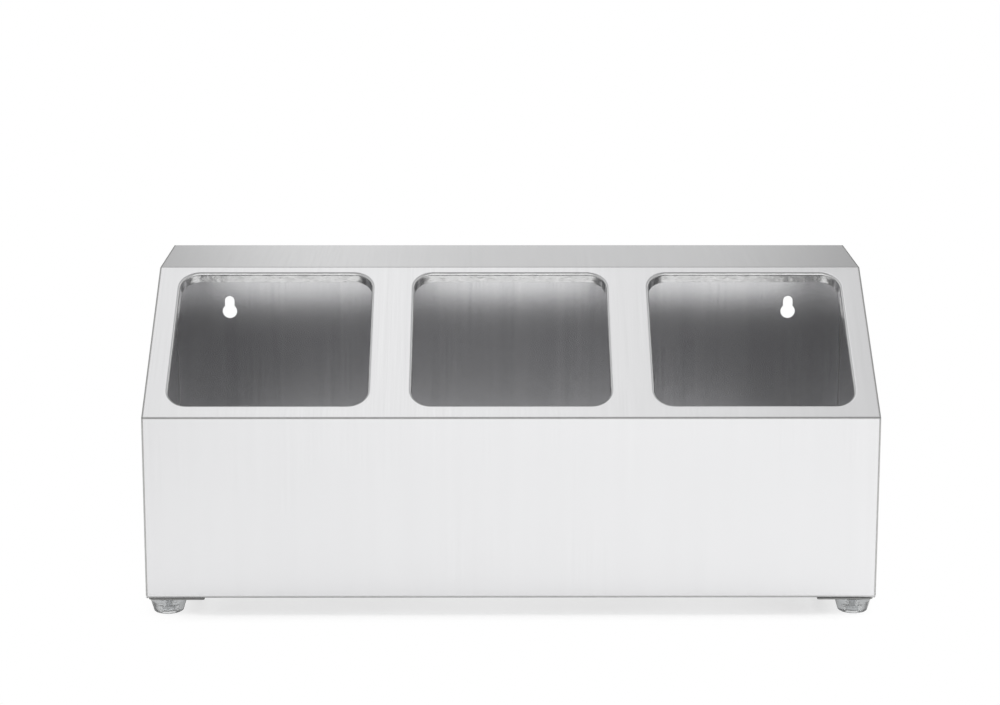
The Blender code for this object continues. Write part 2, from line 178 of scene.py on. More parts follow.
class Workpiece:
    """A mesh on the bench. It is open for editing from its making until it is finished."""

    def __init__(self, name: str) -> None:
        """Start a piece as an empty mesh.

        Args:
            name: Name of the piece.
        """
        bpy.ops.object.select_all(action="DESELECT")
        bpy.ops.mesh.primitive_plane_add(size=1)
        self.thing = bpy.context.object
        self.thing.name = name
        self.thing.data.name = name
        self.resume()
        bpy.ops.mesh.select_all(action="SELECT")
        bpy.ops.mesh.delete(type="VERT")

    def rectangle(self, centre: Vector, across: float, along: float, turn: tuple = (0, 0, 0)) -> None:
        """Add a flat rectangle, selected by itself.

        Args:
            centre: Middle of the rectangle.
            across: Size along X before the turn.
            along: Size along Y before the turn.
            turn: Rotation about X, Y and Z in radians, by quarter turns about X or Y.
        """
        bpy.ops.mesh.select_all(action="DESELECT")
        bpy.ops.mesh.primitive_plane_add(size=1, location=centre, rotation=turn)
        if turn[1]:
            scale = (1, along, across)
        elif turn[0]:
            scale = (across, 1, along)
        else:
            scale = (across, along, 1)
        bpy.ops.transform.resize(value=scale, center_override=centre)

    def cylinder(self, radius: float, bottom: float, top: float, sides: int, centre: tuple = (0, 0)) -> None:
        """Add a closed upright cylinder, selected by itself.

        Args:
            radius: Radius to its corners.
            bottom: Height of its lower end.
            top: Height of its upper end.
            sides: Number of its sides.
            centre: X and Y of its axis.
        """
        bpy.ops.mesh.select_all(action="DESELECT")
        bpy.ops.mesh.primitive_cylinder_add(
            vertices=sides, radius=radius, depth=top - bottom, location=(*centre, (bottom + top) / 2)
        )

    def pick(self, kind: Element, test: Callable) -> None:
        """Select the elements that pass a test, and nothing else.

        Args:
            kind: Kind of element to look at.
            test: Tells of a vertex, edge or face whether it is wanted.
        """
        bpy.ops.mesh.select_mode(type=kind.value)
        bpy.ops.mesh.select_all(action="DESELECT")
        shape = bmesh.from_edit_mesh(self.thing.data)
        shape.normal_update()
        rows = {Element.VERTEX: shape.verts, Element.EDGE: shape.edges, Element.FACE: shape.faces}
        for element in rows[kind]:
            if test(element):
                element.select_set(True)
        bmesh.update_edit_mesh(self.thing.data)

    def pick_corner(self, place: Vector, axes: str) -> None:
        """Select the corner of a flat outline that lies at a place, as seen in the plane of two axes.

        Args:
            place: Where the corner lies.
            axes: Names of the two axes, such as "xy".
        """
        spot = getattr(place, axes)
        self.pick(
            Element.VERTEX, lambda corner: (getattr(corner.co, axes) - spot).length < PLACE_TOLERANCE
        )

    def pick_edges_at(self, height: float) -> None:
        """Select the free edges that lie at one height."""
        self.pick(
            Element.EDGE,
            lambda edge: (edge.is_boundary or edge.is_wire)
            and all(abs(end.co.z - height) < PLACE_TOLERANCE for end in edge.verts),
        )

    def pick_ring(self, radius: float, height: float) -> None:
        """Select the edges of one ring about the Z axis.

        Args:
            radius: Radius of the ring.
            height: Height of the ring.
        """
        self.pick(
            Element.EDGE,
            lambda edge: all(
                abs(end.co.z - height) < PLACE_TOLERANCE
                and abs(math.hypot(end.co.x, end.co.y) - radius) < PLACE_TOLERANCE
                for end in edge.verts
            ),
        )

    def round_corners(self, reach: float, steps: int) -> None:
        """Round the selected corners of a flat outline.

        Args:
            reach: How far the rounding starts from each corner.
            steps: Number of straight steps in it.
        """
        bpy.ops.mesh.bevel(offset=reach, offset_type="OFFSET", segments=steps, affect="VERTICES")

    def round_edges(self, radius: float, steps: int) -> None:
        """Round the selected edges.

        Args:
            radius: How far the rounding starts from each edge.
            steps: Number of flat steps in it.
        """
        bpy.ops.mesh.bevel(offset=radius, offset_type="OFFSET", segments=steps, affect="EDGES")

    def inset(self, thickness: float, depth: float = 0.0) -> None:
        """Draw the selected face in, and push it along its normal."""
        bpy.ops.mesh.inset(thickness=thickness, depth=depth, use_even_offset=True)

    def extrude(self, travel: tuple | Vector) -> None:
        """Extrude the selection by a vector."""
        bpy.ops.mesh.extrude_region_move(TRANSFORM_OT_translate={"value": tuple(travel)})

    def taper(self, share: float) -> None:
        """Shrink the selection towards the Z axis."""
        bpy.ops.transform.resize(value=(share, share, 1), center_override=(0, 0, 0))

    def fold(self, centre: Vector, turn: float, steps: int, axis: tuple = (1, 0, 0)) -> None:
        """Swing the selected edge about a bend's axis.

        Args:
            centre: A point on the axis.
            turn: Angle of the bend in radians, by the right-hand rule.
            steps: Number of flat steps in the bend.
            axis: Direction of the axis.
        """
        bpy.ops.mesh.spin(steps=steps, angle=-turn, center=centre, axis=axis)

    def open_selected(self) -> None:
        """Remove the selected faces and keep their edges."""
        bpy.ops.mesh.delete(type="ONLY_FACE")

    def cut(self, place: tuple, normal: tuple, clear_outer: bool = False, fill: bool = False) -> None:
        """Cut the whole mesh along a plane.

        Args:
            place: A point on the plane.
            normal: Direction square to the plane.
            clear_outer: Whether what lies on the normal's side goes.
            fill: Whether a face closes the cut.
        """
        bpy.ops.mesh.select_all(action="SELECT")
        bpy.ops.mesh.bisect(plane_co=place, plane_no=normal, clear_outer=clear_outer, use_fill=fill)

    def face_towards(self, outward: tuple | Vector) -> None:
        """Turn every face so that the largest one looks the given way."""
        bpy.ops.mesh.select_all(action="SELECT")
        bpy.ops.mesh.normals_make_consistent(inside=False)
        shape = bmesh.from_edit_mesh(self.thing.data)
        shape.normal_update()
        largest = max(shape.faces, key=lambda face: face.calc_area())
        if largest.normal.dot(Vector(outward)) < 0:
            bpy.ops.mesh.flip_normals()

    def close_skin(self) -> None:
        """Merge doubled corners and turn every face of a closed mesh outwards."""
        bpy.ops.mesh.select_all(action="SELECT")
        bpy.ops.mesh.remove_doubles(threshold=MERGE_DISTANCE)
        bpy.ops.mesh.normals_make_consistent(inside=False)

    def activate(self) -> None:
        """Select this piece alone and make it active."""
        bpy.ops.object.select_all(action="DESELECT")
        self.thing.select_set(True)
        bpy.context.view_layer.objects.active = self.thing

    def end_editing(self) -> None:
        """Leave edit mode with this piece active."""
        bpy.ops.object.mode_set(mode="OBJECT")
        self.activate()

    def resume(self) -> None:
        """Open this piece for editing again."""
        bpy.context.view_layer.objects.active = self.thing
        bpy.ops.object.mode_set(mode="EDIT")

    def apply(self, kind: str, **settings: object) -> None:
        """Add a modifier, set it up and apply it.

        Args:
            kind: Blender's name of the modifier's type.
            settings: Values by property name.
        """
        modifier = self.thing.modifiers.new(kind.lower(), kind)
        for name, value in settings.items():
            setattr(modifier, name, value)
        bpy.ops.object.modifier_apply(modifier=modifier.name)

    def cut_with(self, tool: "Workpiece", operation: str = "DIFFERENCE") -> None:
        """Shape this piece with another solid, which is then thrown away.

        Args:
            tool: The solid to cut, join or intersect with.
            operation: Blender's name of what is done.
        """
        tool.close_skin()
        tool.end_editing()
        self.activate()
        self.apply("BOOLEAN", operation=operation, object=tool.thing, solver="EXACT")
        bpy.data.objects.remove(tool.thing, do_unlink=True)

    def drill(self, *hole: object) -> None:
        """Drill a hole through the finished mesh, given as the cylinder method takes it."""
        tool = Workpiece("drill")
        tool.cylinder(*hole)
        self.cut_with(tool)

    def thicken(self, thickness: float) -> None:
        """Thicken a finished surface on its inner side."""
        self.apply("SOLIDIFY", thickness=thickness, offset=-1, use_even_offset=True)

    def move(self, location: tuple | Vector = (0, 0, 0), turn: tuple = (0, 0, 0)) -> None:
        """Turn and move the finished mesh, and leave its object at the origin."""
        self.thing.rotation_euler = turn
        self.thing.location = location
        bpy.ops.object.transform_apply(location=True, rotation=True, scale=True)

    def soften(self, radius: float, steps: int = 2, angle: float = SHARP_EDGE_ANGLE) -> None:
        """Give every sharp edge of the finished mesh a small rounding.

        Args:
            radius: Size of the rounding.
            steps: Number of flat steps in it.
            angle: Edges sharper than this are rounded.
        """
        self.apply("BEVEL", width=radius, segments=steps, limit_method="ANGLE", angle_limit=angle)

    def shade(self) -> None:
        """Shade the mesh smooth, with flat faces that stay flat beside small roundings."""
        bpy.ops.object.shade_smooth_by_angle(angle=SMOOTH_ANGLE)
        self.apply("WEIGHTED_NORMAL", keep_sharp=True, weight=100)

    def duplicate(self, name: str, shift: Vector) -> "Workpiece":
        """Copy the finished piece to another place, with a mesh of its own.

        Args:
            name: Name of the copy.
            shift: How far the copy lies from this piece.

        Returns:
            The copy.
        """
        copy = object.__new__(Workpiece)
        copy.thing = self.thing.copy()
        copy.thing.data = self.thing.data.copy()
        copy.thing.name = name
        copy.thing.data.name = name
        bpy.context.scene.collection.objects.link(copy.thing)
        copy.activate()
        copy.move(shift)
        return copy

    def refinish(self, material: bpy.types.Material, test: Callable) -> None:
        """Give some faces of a handed-over piece a finish of their own.

        Args:
            material: Finish of those faces.
            test: Tells of a face whether it is one of them.
        """
        number = len(self.thing.data.materials)
        self.thing.data.materials.append(material)
        for face in self.thing.data.polygons:
            if test(face):
                face.material_index = number

    def hand_over(self, material: bpy.types.Material, slot: Slot, *nodes: str) -> None:
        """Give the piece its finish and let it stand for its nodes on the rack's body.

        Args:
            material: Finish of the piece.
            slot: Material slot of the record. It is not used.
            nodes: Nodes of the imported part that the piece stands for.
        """
        self.thing.data.materials.clear()
        self.thing.data.materials.append(material)
        if nodes:
            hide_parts(*nodes)
        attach(self.thing, BODY)
        low, high = (
            [1000 * limit(corner[axis] for corner in self.thing.bound_box) for axis in range(3)]
            for limit in (min, max)
        )
        LOG.info(
            "%s: %d faces, from %.3f %.3f %.3f to %.3f %.3f %.3f mm",
            self.thing.name,
            len(self.thing.data.polygons),
            *low,
            *high,
        )


@dataclass(frozen=True)
class BrushedStainless:
    """Stainless steel sheet, brushed along the fold section.

    The long fine scratches spread a reflection sideways, so that the sheet looks satin with faint upright
    lines. The sheet is never quite flat, which bows soft reflections a little.
    """

    name: str
    grain: Grain
    colour: str = "#D8D8D9"
    line_colour: str = "#D6D6D7"
    roughness: float = 0.24
    roughness_spread: float = 0.03
    anisotropy: float = 0.68
    # Real brushed lines are about 0.1 mm wide, which is too fine to show, so they are drawn coarser
    fine_line: float = 0.0009
    fine_line_length: float = 0.090
    broad_line: float = 0.0050
    broad_line_length: float = 0.40
    line_relief: float = 0.000005
    bow_size: float = 0.110
    bow_relief: float = 0.00030
    # Pull of the welds: how far the middle height stands proud of the edges, and where those are
    pull: float = 0.0
    pull_middle: float = 0.130
    pull_half_height: float = 0.115

    def lines(self, tree: bpy.types.NodeTree, width: float, length: float) -> bpy.types.NodeSocket:
        """Add a noise drawn out along the grain.

        Args:
            tree: Node tree of the material.
            width: Width of a line.
            length: Length of a line.

        Returns:
            The noise's value socket.
        """
        scale = [1 / length] * 3
        scale["XYZ".index(self.grain.value)] = 1 / width
        place = add_node(tree, "ShaderNodeTexCoord")
        mapping = add_node(tree, "ShaderNodeMapping", {"Scale": scale}, {"Vector": place.outputs["Object"]})
        noise = add_node(
            tree,
            "ShaderNodeTexNoise",
            {"Scale": 1.0, "Detail": 3.0, "Roughness": 0.6},
            {"Vector": mapping.outputs["Vector"]},
        )
        return noise.outputs["Fac"]

    def tone(self, tree: bpy.types.NodeTree, fine: bpy.types.NodeSocket) -> bpy.types.NodeSocket:
        """Colour the sheet by its fine and broad lines.

        Args:
            tree: Node tree of the material.
            fine: Noise of the fine lines.

        Returns:
            The colour's socket.
        """
        broad = self.lines(tree, self.broad_line, self.broad_line_length)
        lines = add_node(tree, "ShaderNodeMath", {"operation": "ADD"}, {0: fine, 1: broad})
        tint = add_node(
            tree,
            "ShaderNodeMapRange",
            {"From Min": 0.75, "From Max": 1.25},
            {"Value": lines.outputs["Value"]},
        )
        colour = add_node(
            tree,
            "ShaderNodeMix",
            {"data_type": "RGBA", 6: linear_colour(self.line_colour), 7: linear_colour(self.colour)},
            {0: tint.outputs["Result"]},
        )
        return colour.outputs[2]

    def bowed(self, tree: bpy.types.NodeTree) -> bpy.types.NodeSocket:
        """Bow the sheet a little, as rolling and the pull of the welds leave it.

        Args:
            tree: Node tree of the material.

        Returns:
            The bowed normal's socket.
        """
        place = add_node(tree, "ShaderNodeTexCoord")
        bow = add_node(
            tree,
            "ShaderNodeTexNoise",
            {"Scale": 1 / self.bow_size, "Detail": 1.0},
            {"Vector": place.outputs["Object"]},
        )
        bowed = add_node(
            tree,
            "ShaderNodeBump",
            {"Strength": 1.0, "Distance": self.bow_relief},
            {"Height": bow.outputs["Fac"]},
        )
        if not self.pull:
            return bowed.outputs["Normal"]
        parts = add_node(tree, "ShaderNodeSeparateXYZ", links={0: place.outputs["Object"]})
        share = add_node(
            tree,
            "ShaderNodeMapRange",
            {
                "From Min": self.pull_middle,
                "From Max": self.pull_middle + self.pull_half_height,
                "clamp": False,
            },
            {"Value": parts.outputs["Z"]},
        )
        sunk = add_node(
            tree,
            "ShaderNodeMath",
            {"operation": "MULTIPLY"},
            {0: share.outputs["Result"], 1: share.outputs["Result"]},
        )
        pulled = add_node(
            tree,
            "ShaderNodeBump",
            {"invert": True, "Strength": 1.0, "Distance": self.pull},
            {"Height": sunk.outputs[0], "Normal": bowed.outputs["Normal"]},
        )
        return pulled.outputs["Normal"]

    def make(self) -> bpy.types.Material:
        """Build the material."""
        material, tree = empty_material(self.name)
        fine = self.lines(tree, self.fine_line, self.fine_line_length)
        rough = add_node(
            tree,
            "ShaderNodeMapRange",
            {
                "From Min": 0.3,
                "From Max": 0.7,
                "To Min": self.roughness + self.roughness_spread / 2,
                "To Max": self.roughness - self.roughness_spread / 2,
            },
            {"Value": fine},
        )
        scratched = add_node(
            tree,
            "ShaderNodeBump",
            {"Strength": 1.0, "Distance": self.line_relief},
            {"Height": fine, "Normal": self.bowed(tree)},
        )
        tangent = add_node(tree, "ShaderNodeTangent", {"direction_type": "RADIAL", "axis": self.grain.value})
        shader = add_node(
            tree,
            "ShaderNodeBsdfPrincipled",
            {"Metallic": 1.0, "Anisotropic": self.anisotropy, "Anisotropic Rotation": 0.25},
            {
                "Base Color": self.tone(tree, fine),
                "Roughness": rough.outputs["Result"],
                "Normal": scratched.outputs["Normal"],
                "Tangent": tangent.outputs["Tangent"],
            },
        )
        add_node(tree, "ShaderNodeOutputMaterial", links={"Surface": shader.outputs["BSDF"]})
        return material


@dataclass(frozen=True)
class GrainlessStainless:
    """Stainless steel with no grain, whose colour changes softly between two tones over a soft ripple.

    A rim is wavy, and its lighter colour is a painted highlight for the light that it reflects from under the
    openings. A bend's greyer colour is painted shade for the dark lines along the folds. A ground weld is grey
    and rough, partly as ground steel is and partly as painted shade for the dark lines along the side edges. A
    plate is dark grey and dull.
    """

    name: str
    colour: str
    dark_colour: str
    roughness: float
    ripple: float
    relief: float

    def make(self) -> bpy.types.Material:
        """Build the material."""
        material, tree = empty_material(self.name)
        ripple, colour = add_clouds(tree, self.ripple, 2.0, self.dark_colour, self.colour)
        bump = add_node(
            tree, "ShaderNodeBump", {"Strength": 1.0, "Distance": self.relief}, {"Height": ripple}
        )
        shader = add_node(
            tree,
            "ShaderNodeBsdfPrincipled",
            {"Metallic": 1.0, "Roughness": self.roughness},
            {"Base Color": colour, "Normal": bump.outputs["Normal"]},
        )
        add_node(tree, "ShaderNodeOutputMaterial", links={"Surface": shader.outputs["BSDF"]})
        return material


@dataclass(frozen=True)
class ZincPlate:
    """Bright zinc plating on steel. It is smooth and slightly blue, with a faint mottle."""

    name: str = "bright_zinc_plate"
    colour: str = "#EBEDEF"
    dull_colour: str = "#DCDFE1"
    bright_roughness: float = 0.28
    dull_roughness: float = 0.40
    mottle: float = 0.0015

    def make(self) -> bpy.types.Material:
        """Build the material."""
        material, tree = empty_material(self.name)
        mottle, colour = add_clouds(tree, self.mottle, 3.0, self.dull_colour, self.colour)
        rough = add_node(
            tree,
            "ShaderNodeMapRange",
            {"To Min": self.dull_roughness, "To Max": self.bright_roughness},
            {"Value": mottle},
        )
        shader = add_node(
            tree,
            "ShaderNodeBsdfPrincipled",
            {"Metallic": 1.0},
            {"Base Color": colour, "Roughness": rough.outputs["Result"]},
        )
        add_node(tree, "ShaderNodeOutputMaterial", links={"Surface": shader.outputs["BSDF"]})
        return material


@dataclass(frozen=True)
class ClearRubber:
    """Translucent thermoplastic rubber, injection moulded.

    It is glassy where it is thin and smoky grey where it is thick, with faint clouds and an uneven skin.
    """

    name: str = "translucent_moulded_rubber"
    colour: str = "#FFFFFF"
    cloud_colour: str = "#F7F8F8"
    smoke_colour: str = "#BCBFC1"
    # Absorption per metre, before the smoke's colour lowers it
    smoke_density: float = 55
    roughness: float = 0.12
    transmission: float = 0.84
    index: float = 1.48
    cloud: float = 0.006
    skin: float = 0.0011
    skin_relief: float = 0.00001

    def make(self) -> bpy.types.Material:
        """Build the material."""
        material, tree = empty_material(self.name)
        _, colour = add_clouds(tree, self.cloud, 2.0, self.cloud_colour, self.colour)
        place = add_node(tree, "ShaderNodeTexCoord")
        skin = add_node(
            tree,
            "ShaderNodeTexNoise",
            {"Scale": 1 / self.skin, "Detail": 2.0},
            {"Vector": place.outputs["Object"]},
        )
        bump = add_node(
            tree,
            "ShaderNodeBump",
            {"Strength": 1.0, "Distance": self.skin_relief},
            {"Height": skin.outputs["Fac"]},
        )
        shader = add_node(
            tree,
            "ShaderNodeBsdfPrincipled",
            {"Roughness": self.roughness, "Transmission Weight": self.transmission, "IOR": self.index},
            {"Base Color": colour, "Normal": bump.outputs["Normal"]},
        )
        smoke = add_node(
            tree,
            "ShaderNodeVolumeAbsorption",
            {"Color": linear_colour(self.smoke_colour), "Density": self.smoke_density},
        )
        add_node(
            tree,
            "ShaderNodeOutputMaterial",
            links={"Surface": shader.outputs["BSDF"], "Volume": smoke.outputs["Volume"]},
        )
        return material


@dataclass(frozen=True)
class SheetGauge:
    """How the stainless sheet is cut and folded."""

    thickness: float = 0.0010
    bend_radius: float = 0.0020
    bend_steps: int = 10
    flange_width: float = 0.0100
    cut_edge_radius: float = 0.00015
    seam_gap: float = 0.0003

    def reach(self, turn: float) -> float:
        """Give how far a bend starts from its sharp corner."""
        return self.bend_radius * math.tan(abs(turn) / 2)


@dataclass(frozen=True)
class RackSection:
    """The rack seen from its end, as sharp corners in the (y, z) plane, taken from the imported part."""

    half_width: float
    shell_half_width: float
    front: float
    back: float
    base: float
    top: float
    deck_angle: float = math.radians(34.5)
    top_depth: float = 0.0920

    @classmethod
    def from_frame(cls) -> "RackSection":
        """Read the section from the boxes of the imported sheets."""
        low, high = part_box("folded_shell")
        return cls(
            half_width=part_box("right_end_panel")[1].x,
            shell_half_width=high.x,
            front=low.y,
            back=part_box("back_panel")[1].y,
            base=low.z,
            top=high.z,
        )

    @property
    def depth(self) -> float:
        """Size from front to back."""
        return self.back - self.front

    @property
    def height(self) -> float:
        """Height of the body above its bottom flanges."""
        return self.top - self.base

    @property
    def upper_fold(self) -> Vector:
        """Corner between the deck and the top."""
        return Vector((0, self.back - self.top_depth, self.top))

    @property
    def deck_length(self) -> float:
        """Length of the deck between its sharp corners."""
        return (self.upper_fold.y - self.front) / math.cos(self.deck_angle)

    @property
    def lower_fold(self) -> Vector:
        """Corner between the front and the deck."""
        return Vector((0, self.front, self.top - self.deck_length * math.sin(self.deck_angle)))

    @property
    def deck_normal(self) -> Vector:
        """Direction that the deck faces."""
        return Vector((0, -math.sin(self.deck_angle), math.cos(self.deck_angle)))

    def add_deck(self, piece: Workpiece, gauge: SheetGauge, middle: float, width: float) -> None:
        """Add the deck between its bends to a piece, as a flat rectangle that starts at the lower fold.

        Args:
            piece: Piece to add it to.
            gauge: How the sheet is folded.
            middle: Middle of the rectangle along the rack.
            width: Size of the rectangle along the rack.
        """
        start = gauge.reach(QUARTER_TURN - self.deck_angle)
        end = self.deck_length - gauge.reach(self.deck_angle)
        piece.rectangle(Vector((middle, (start + end) / 2, 0)), width, end - start)

    def fold_from_deck(self, piece: Workpiece, gauge: SheetGauge, flanged: bool) -> None:
        """Tilt a flat deck into place, and carry its long edges on as the front and the top.

        Args:
            piece: Piece with the flat deck, finished.
            gauge: How the sheet is folded.
            flanged: Whether the front ends in a bottom flange.
        """
        piece.move(self.lower_fold, (self.deck_angle, 0, 0))
        piece.resume()
        radius = gauge.bend_radius
        lower_turn = QUARTER_TURN - self.deck_angle
        lower_reach = gauge.reach(lower_turn)
        upper_reach = gauge.reach(self.deck_angle)
        foot_reach = radius if flanged else 0
        piece.pick_edges_at(self.lower_fold.z + lower_reach * math.sin(self.deck_angle))
        bend = Vector((0, self.front + radius, self.lower_fold.z - lower_reach))
        piece.fold(bend, lower_turn, gauge.bend_steps)
        piece.extrude((0, 0, self.base + foot_reach - bend.z))
        if flanged:
            bend = Vector((0, self.front + radius, self.base + radius))
            piece.fold(bend, QUARTER_TURN, gauge.bend_steps)
            piece.extrude((0, gauge.flange_width - radius, 0))
        piece.pick_edges_at(self.top - upper_reach * math.sin(self.deck_angle))
        bend = Vector((0, self.upper_fold.y + upper_reach, self.top - radius))
        piece.fold(bend, -self.deck_angle, gauge.bend_steps)
        piece.extrude((0, self.back - bend.y, 0))
        piece.face_towards((0, -1, 0))


@dataclass
class FoldedShell:
    """Front, sloping deck with three drawn pan openings, and top, folded from one sheet."""

    section: RackSection
    gauge: SheetGauge
    opening_count: int = 3
    opening_width: float = 0.1520
    opening_length: float = 0.1380
    opening_corner_radius: float = 0.0150
    corner_steps: int = 24
    rim_bend_radius: float = 0.0025
    rim_steps: int = 7
    rim_depth: float = 0.0100
    bridge_width: float = 0.0290
    lower_margin: float = 0.0106
    # Least depth under the deck at which a tilted face takes the rim's lighter finish, a painted highlight,
    # and the slack beyond the rims
    rim_highlight_depth: float = 0.0004
    rim_highlight_slack: float = 0.0010

    def draw_rim(self, shell: Workpiece, centre: Vector) -> None:
        """Draw one opening's rim down from the deck, which lies flat at this step.

        Args:
            shell: Piece to draw it in.
            centre: Middle of the opening.
        """
        bend = self.rim_bend_radius
        shell.rectangle(centre, self.opening_width + 2 * bend, self.opening_length + 2 * bend)
        shell.round_corners(self.opening_corner_radius + bend, self.corner_steps)
        shell.pick(
            Element.FACE,
            lambda face: (face.calc_center_bounds() - centre).length < PLACE_TOLERANCE,
        )
        turns = [QUARTER_TURN * step / self.rim_steps for step in range(self.rim_steps + 1)]
        for before, after in zip(turns, turns[1:]):
            shell.inset(
                bend * (math.sin(after) - math.sin(before)), bend * (math.cos(after) - math.cos(before))
            )
        shell.extrude((0, 0, bend - self.rim_depth))
        shell.open_selected()

    def build(self) -> Workpiece:
        """Build the shell and leave it finished."""
        section, gauge = self.section, self.gauge
        shell = Workpiece("pressed_shell")
        pitch = self.opening_width + 2 * self.rim_bend_radius + self.bridge_width
        middle = self.lower_margin + self.rim_bend_radius + self.opening_length / 2
        for number in range(self.opening_count):
            across = (number - (self.opening_count - 1) / 2) * pitch
            self.draw_rim(shell, Vector((across, middle, 0)))
        section.add_deck(shell, gauge, 0, 2 * section.shell_half_width)
        shell.open_selected()
        shell.pick_edges_at(0)
        bpy.ops.mesh.fill(use_beauty=True)
        shell.face_towards((0, 0, 1))
        shell.end_editing()
        section.fold_from_deck(shell, gauge, flanged=True)
        shell.end_editing()
        shell.thicken(gauge.thickness)
        shell.soften(gauge.cut_edge_radius)
        shell.shade()
        return shell

    def is_on_long_bend(self, face: bpy.types.MeshPolygon) -> bool:
        """Tell whether a face of the finished shell lies on one of its three long bends, which are painted
        darker as shade.
        """
        section, reach = self.section, self.gauge.reach
        bends = (
            (section.lower_fold, reach(QUARTER_TURN - section.deck_angle)),
            (section.upper_fold, reach(section.deck_angle)),
            (Vector((0, section.front, section.base)), reach(QUARTER_TURN)),
        )
        return any((face.center.yz - corner.yz).length < size for corner, size in bends)

    def is_on_rim(self, face: bpy.types.MeshPolygon) -> bool:
        """Tell whether a face of the finished shell lies on the bend or the wall of a rim, whose lighter
        colour is a painted highlight.
        """
        section = self.section
        offset = face.center - section.lower_fold
        depth = -offset.dot(section.deck_normal)
        along = offset.y * math.cos(section.deck_angle) + offset.z * math.sin(section.deck_angle)
        tilted = abs(face.normal.dot(section.deck_normal)) < FLAT_LIMIT
        in_depth = self.rim_highlight_depth < depth < self.rim_depth + self.rim_highlight_slack
        return tilted and in_depth and self.lower_margin - self.rim_highlight_slack < along < section.deck_length


@dataclass
class BackSheet:
    """Back of the rack, with two keyholes to hang it by and a bottom flange."""

    section: RackSection
    gauge: SheetGauge
    keyhole_spacing: float = 0.4690
    keyhole_drop: float = 0.0563
    keyhole_rise: float = 0.0090
    mouth_radius: float = 0.0060
    slot_radius: float = 0.0040
    mouth_sides: int = 48
    slot_sides: int = 40

    def keyhole_tools(self, side: int) -> list[Workpiece]:
        """Make the three punches of one keyhole: its mouth, its slot's end and the neck between them.

        Args:
            side: -1 for the left keyhole and 1 for the right one.

        Returns:
            The punches, as finished closed solids that pass through the sheet.
        """
        reach = 4 * self.gauge.thickness
        height = self.section.top - self.keyhole_drop
        place = Vector((side * self.keyhole_spacing / 2, self.section.back, height))
        punches = []
        for radius, rise, sides in (
            (self.mouth_radius, 0, self.mouth_sides),
            (self.slot_radius, self.keyhole_rise, self.slot_sides),
        ):
            punch = Workpiece("keyhole_punch")
            punch.cylinder(radius, -reach, reach, sides)
            punch.end_editing()
            punch.move(place + Vector((0, 0, rise)), (QUARTER_TURN, 0, 0))
            punches.append(punch)
        neck = Workpiece("keyhole_neck_punch")
        near = place + Vector((0, -reach, self.keyhole_rise / 2))
        neck.rectangle(near, 2 * self.slot_radius, self.keyhole_rise, (QUARTER_TURN, 0, 0))
        neck.extrude((0, 2 * reach, 0))
        neck.end_editing()
        return [*punches, neck]

    def build(self) -> Workpiece:
        """Build the back sheet and leave it finished."""
        section, gauge = self.section, self.gauge
        top = section.top - gauge.thickness - gauge.seam_gap
        bottom = section.base + gauge.bend_radius
        sheet = Workpiece("keyholed_back_sheet")
        middle = Vector((0, section.back, (top + bottom) / 2))
        sheet.rectangle(middle, 2 * section.shell_half_width, top - bottom, (QUARTER_TURN, 0, 0))
        sheet.pick_edges_at(bottom)
        bend = Vector((0, section.back - gauge.bend_radius, bottom))
        sheet.fold(bend, -QUARTER_TURN, gauge.bend_steps)
        sheet.extrude((0, gauge.bend_radius - gauge.flange_width, 0))
        sheet.face_towards((0, 1, 0))
        sheet.end_editing()
        sheet.thicken(gauge.thickness)
        for side in (-1, 1):
            for punch in self.keyhole_tools(side):
                punch.resume()
                sheet.cut_with(punch)
        sheet.soften(gauge.cut_edge_radius)
        sheet.shade()
        return sheet


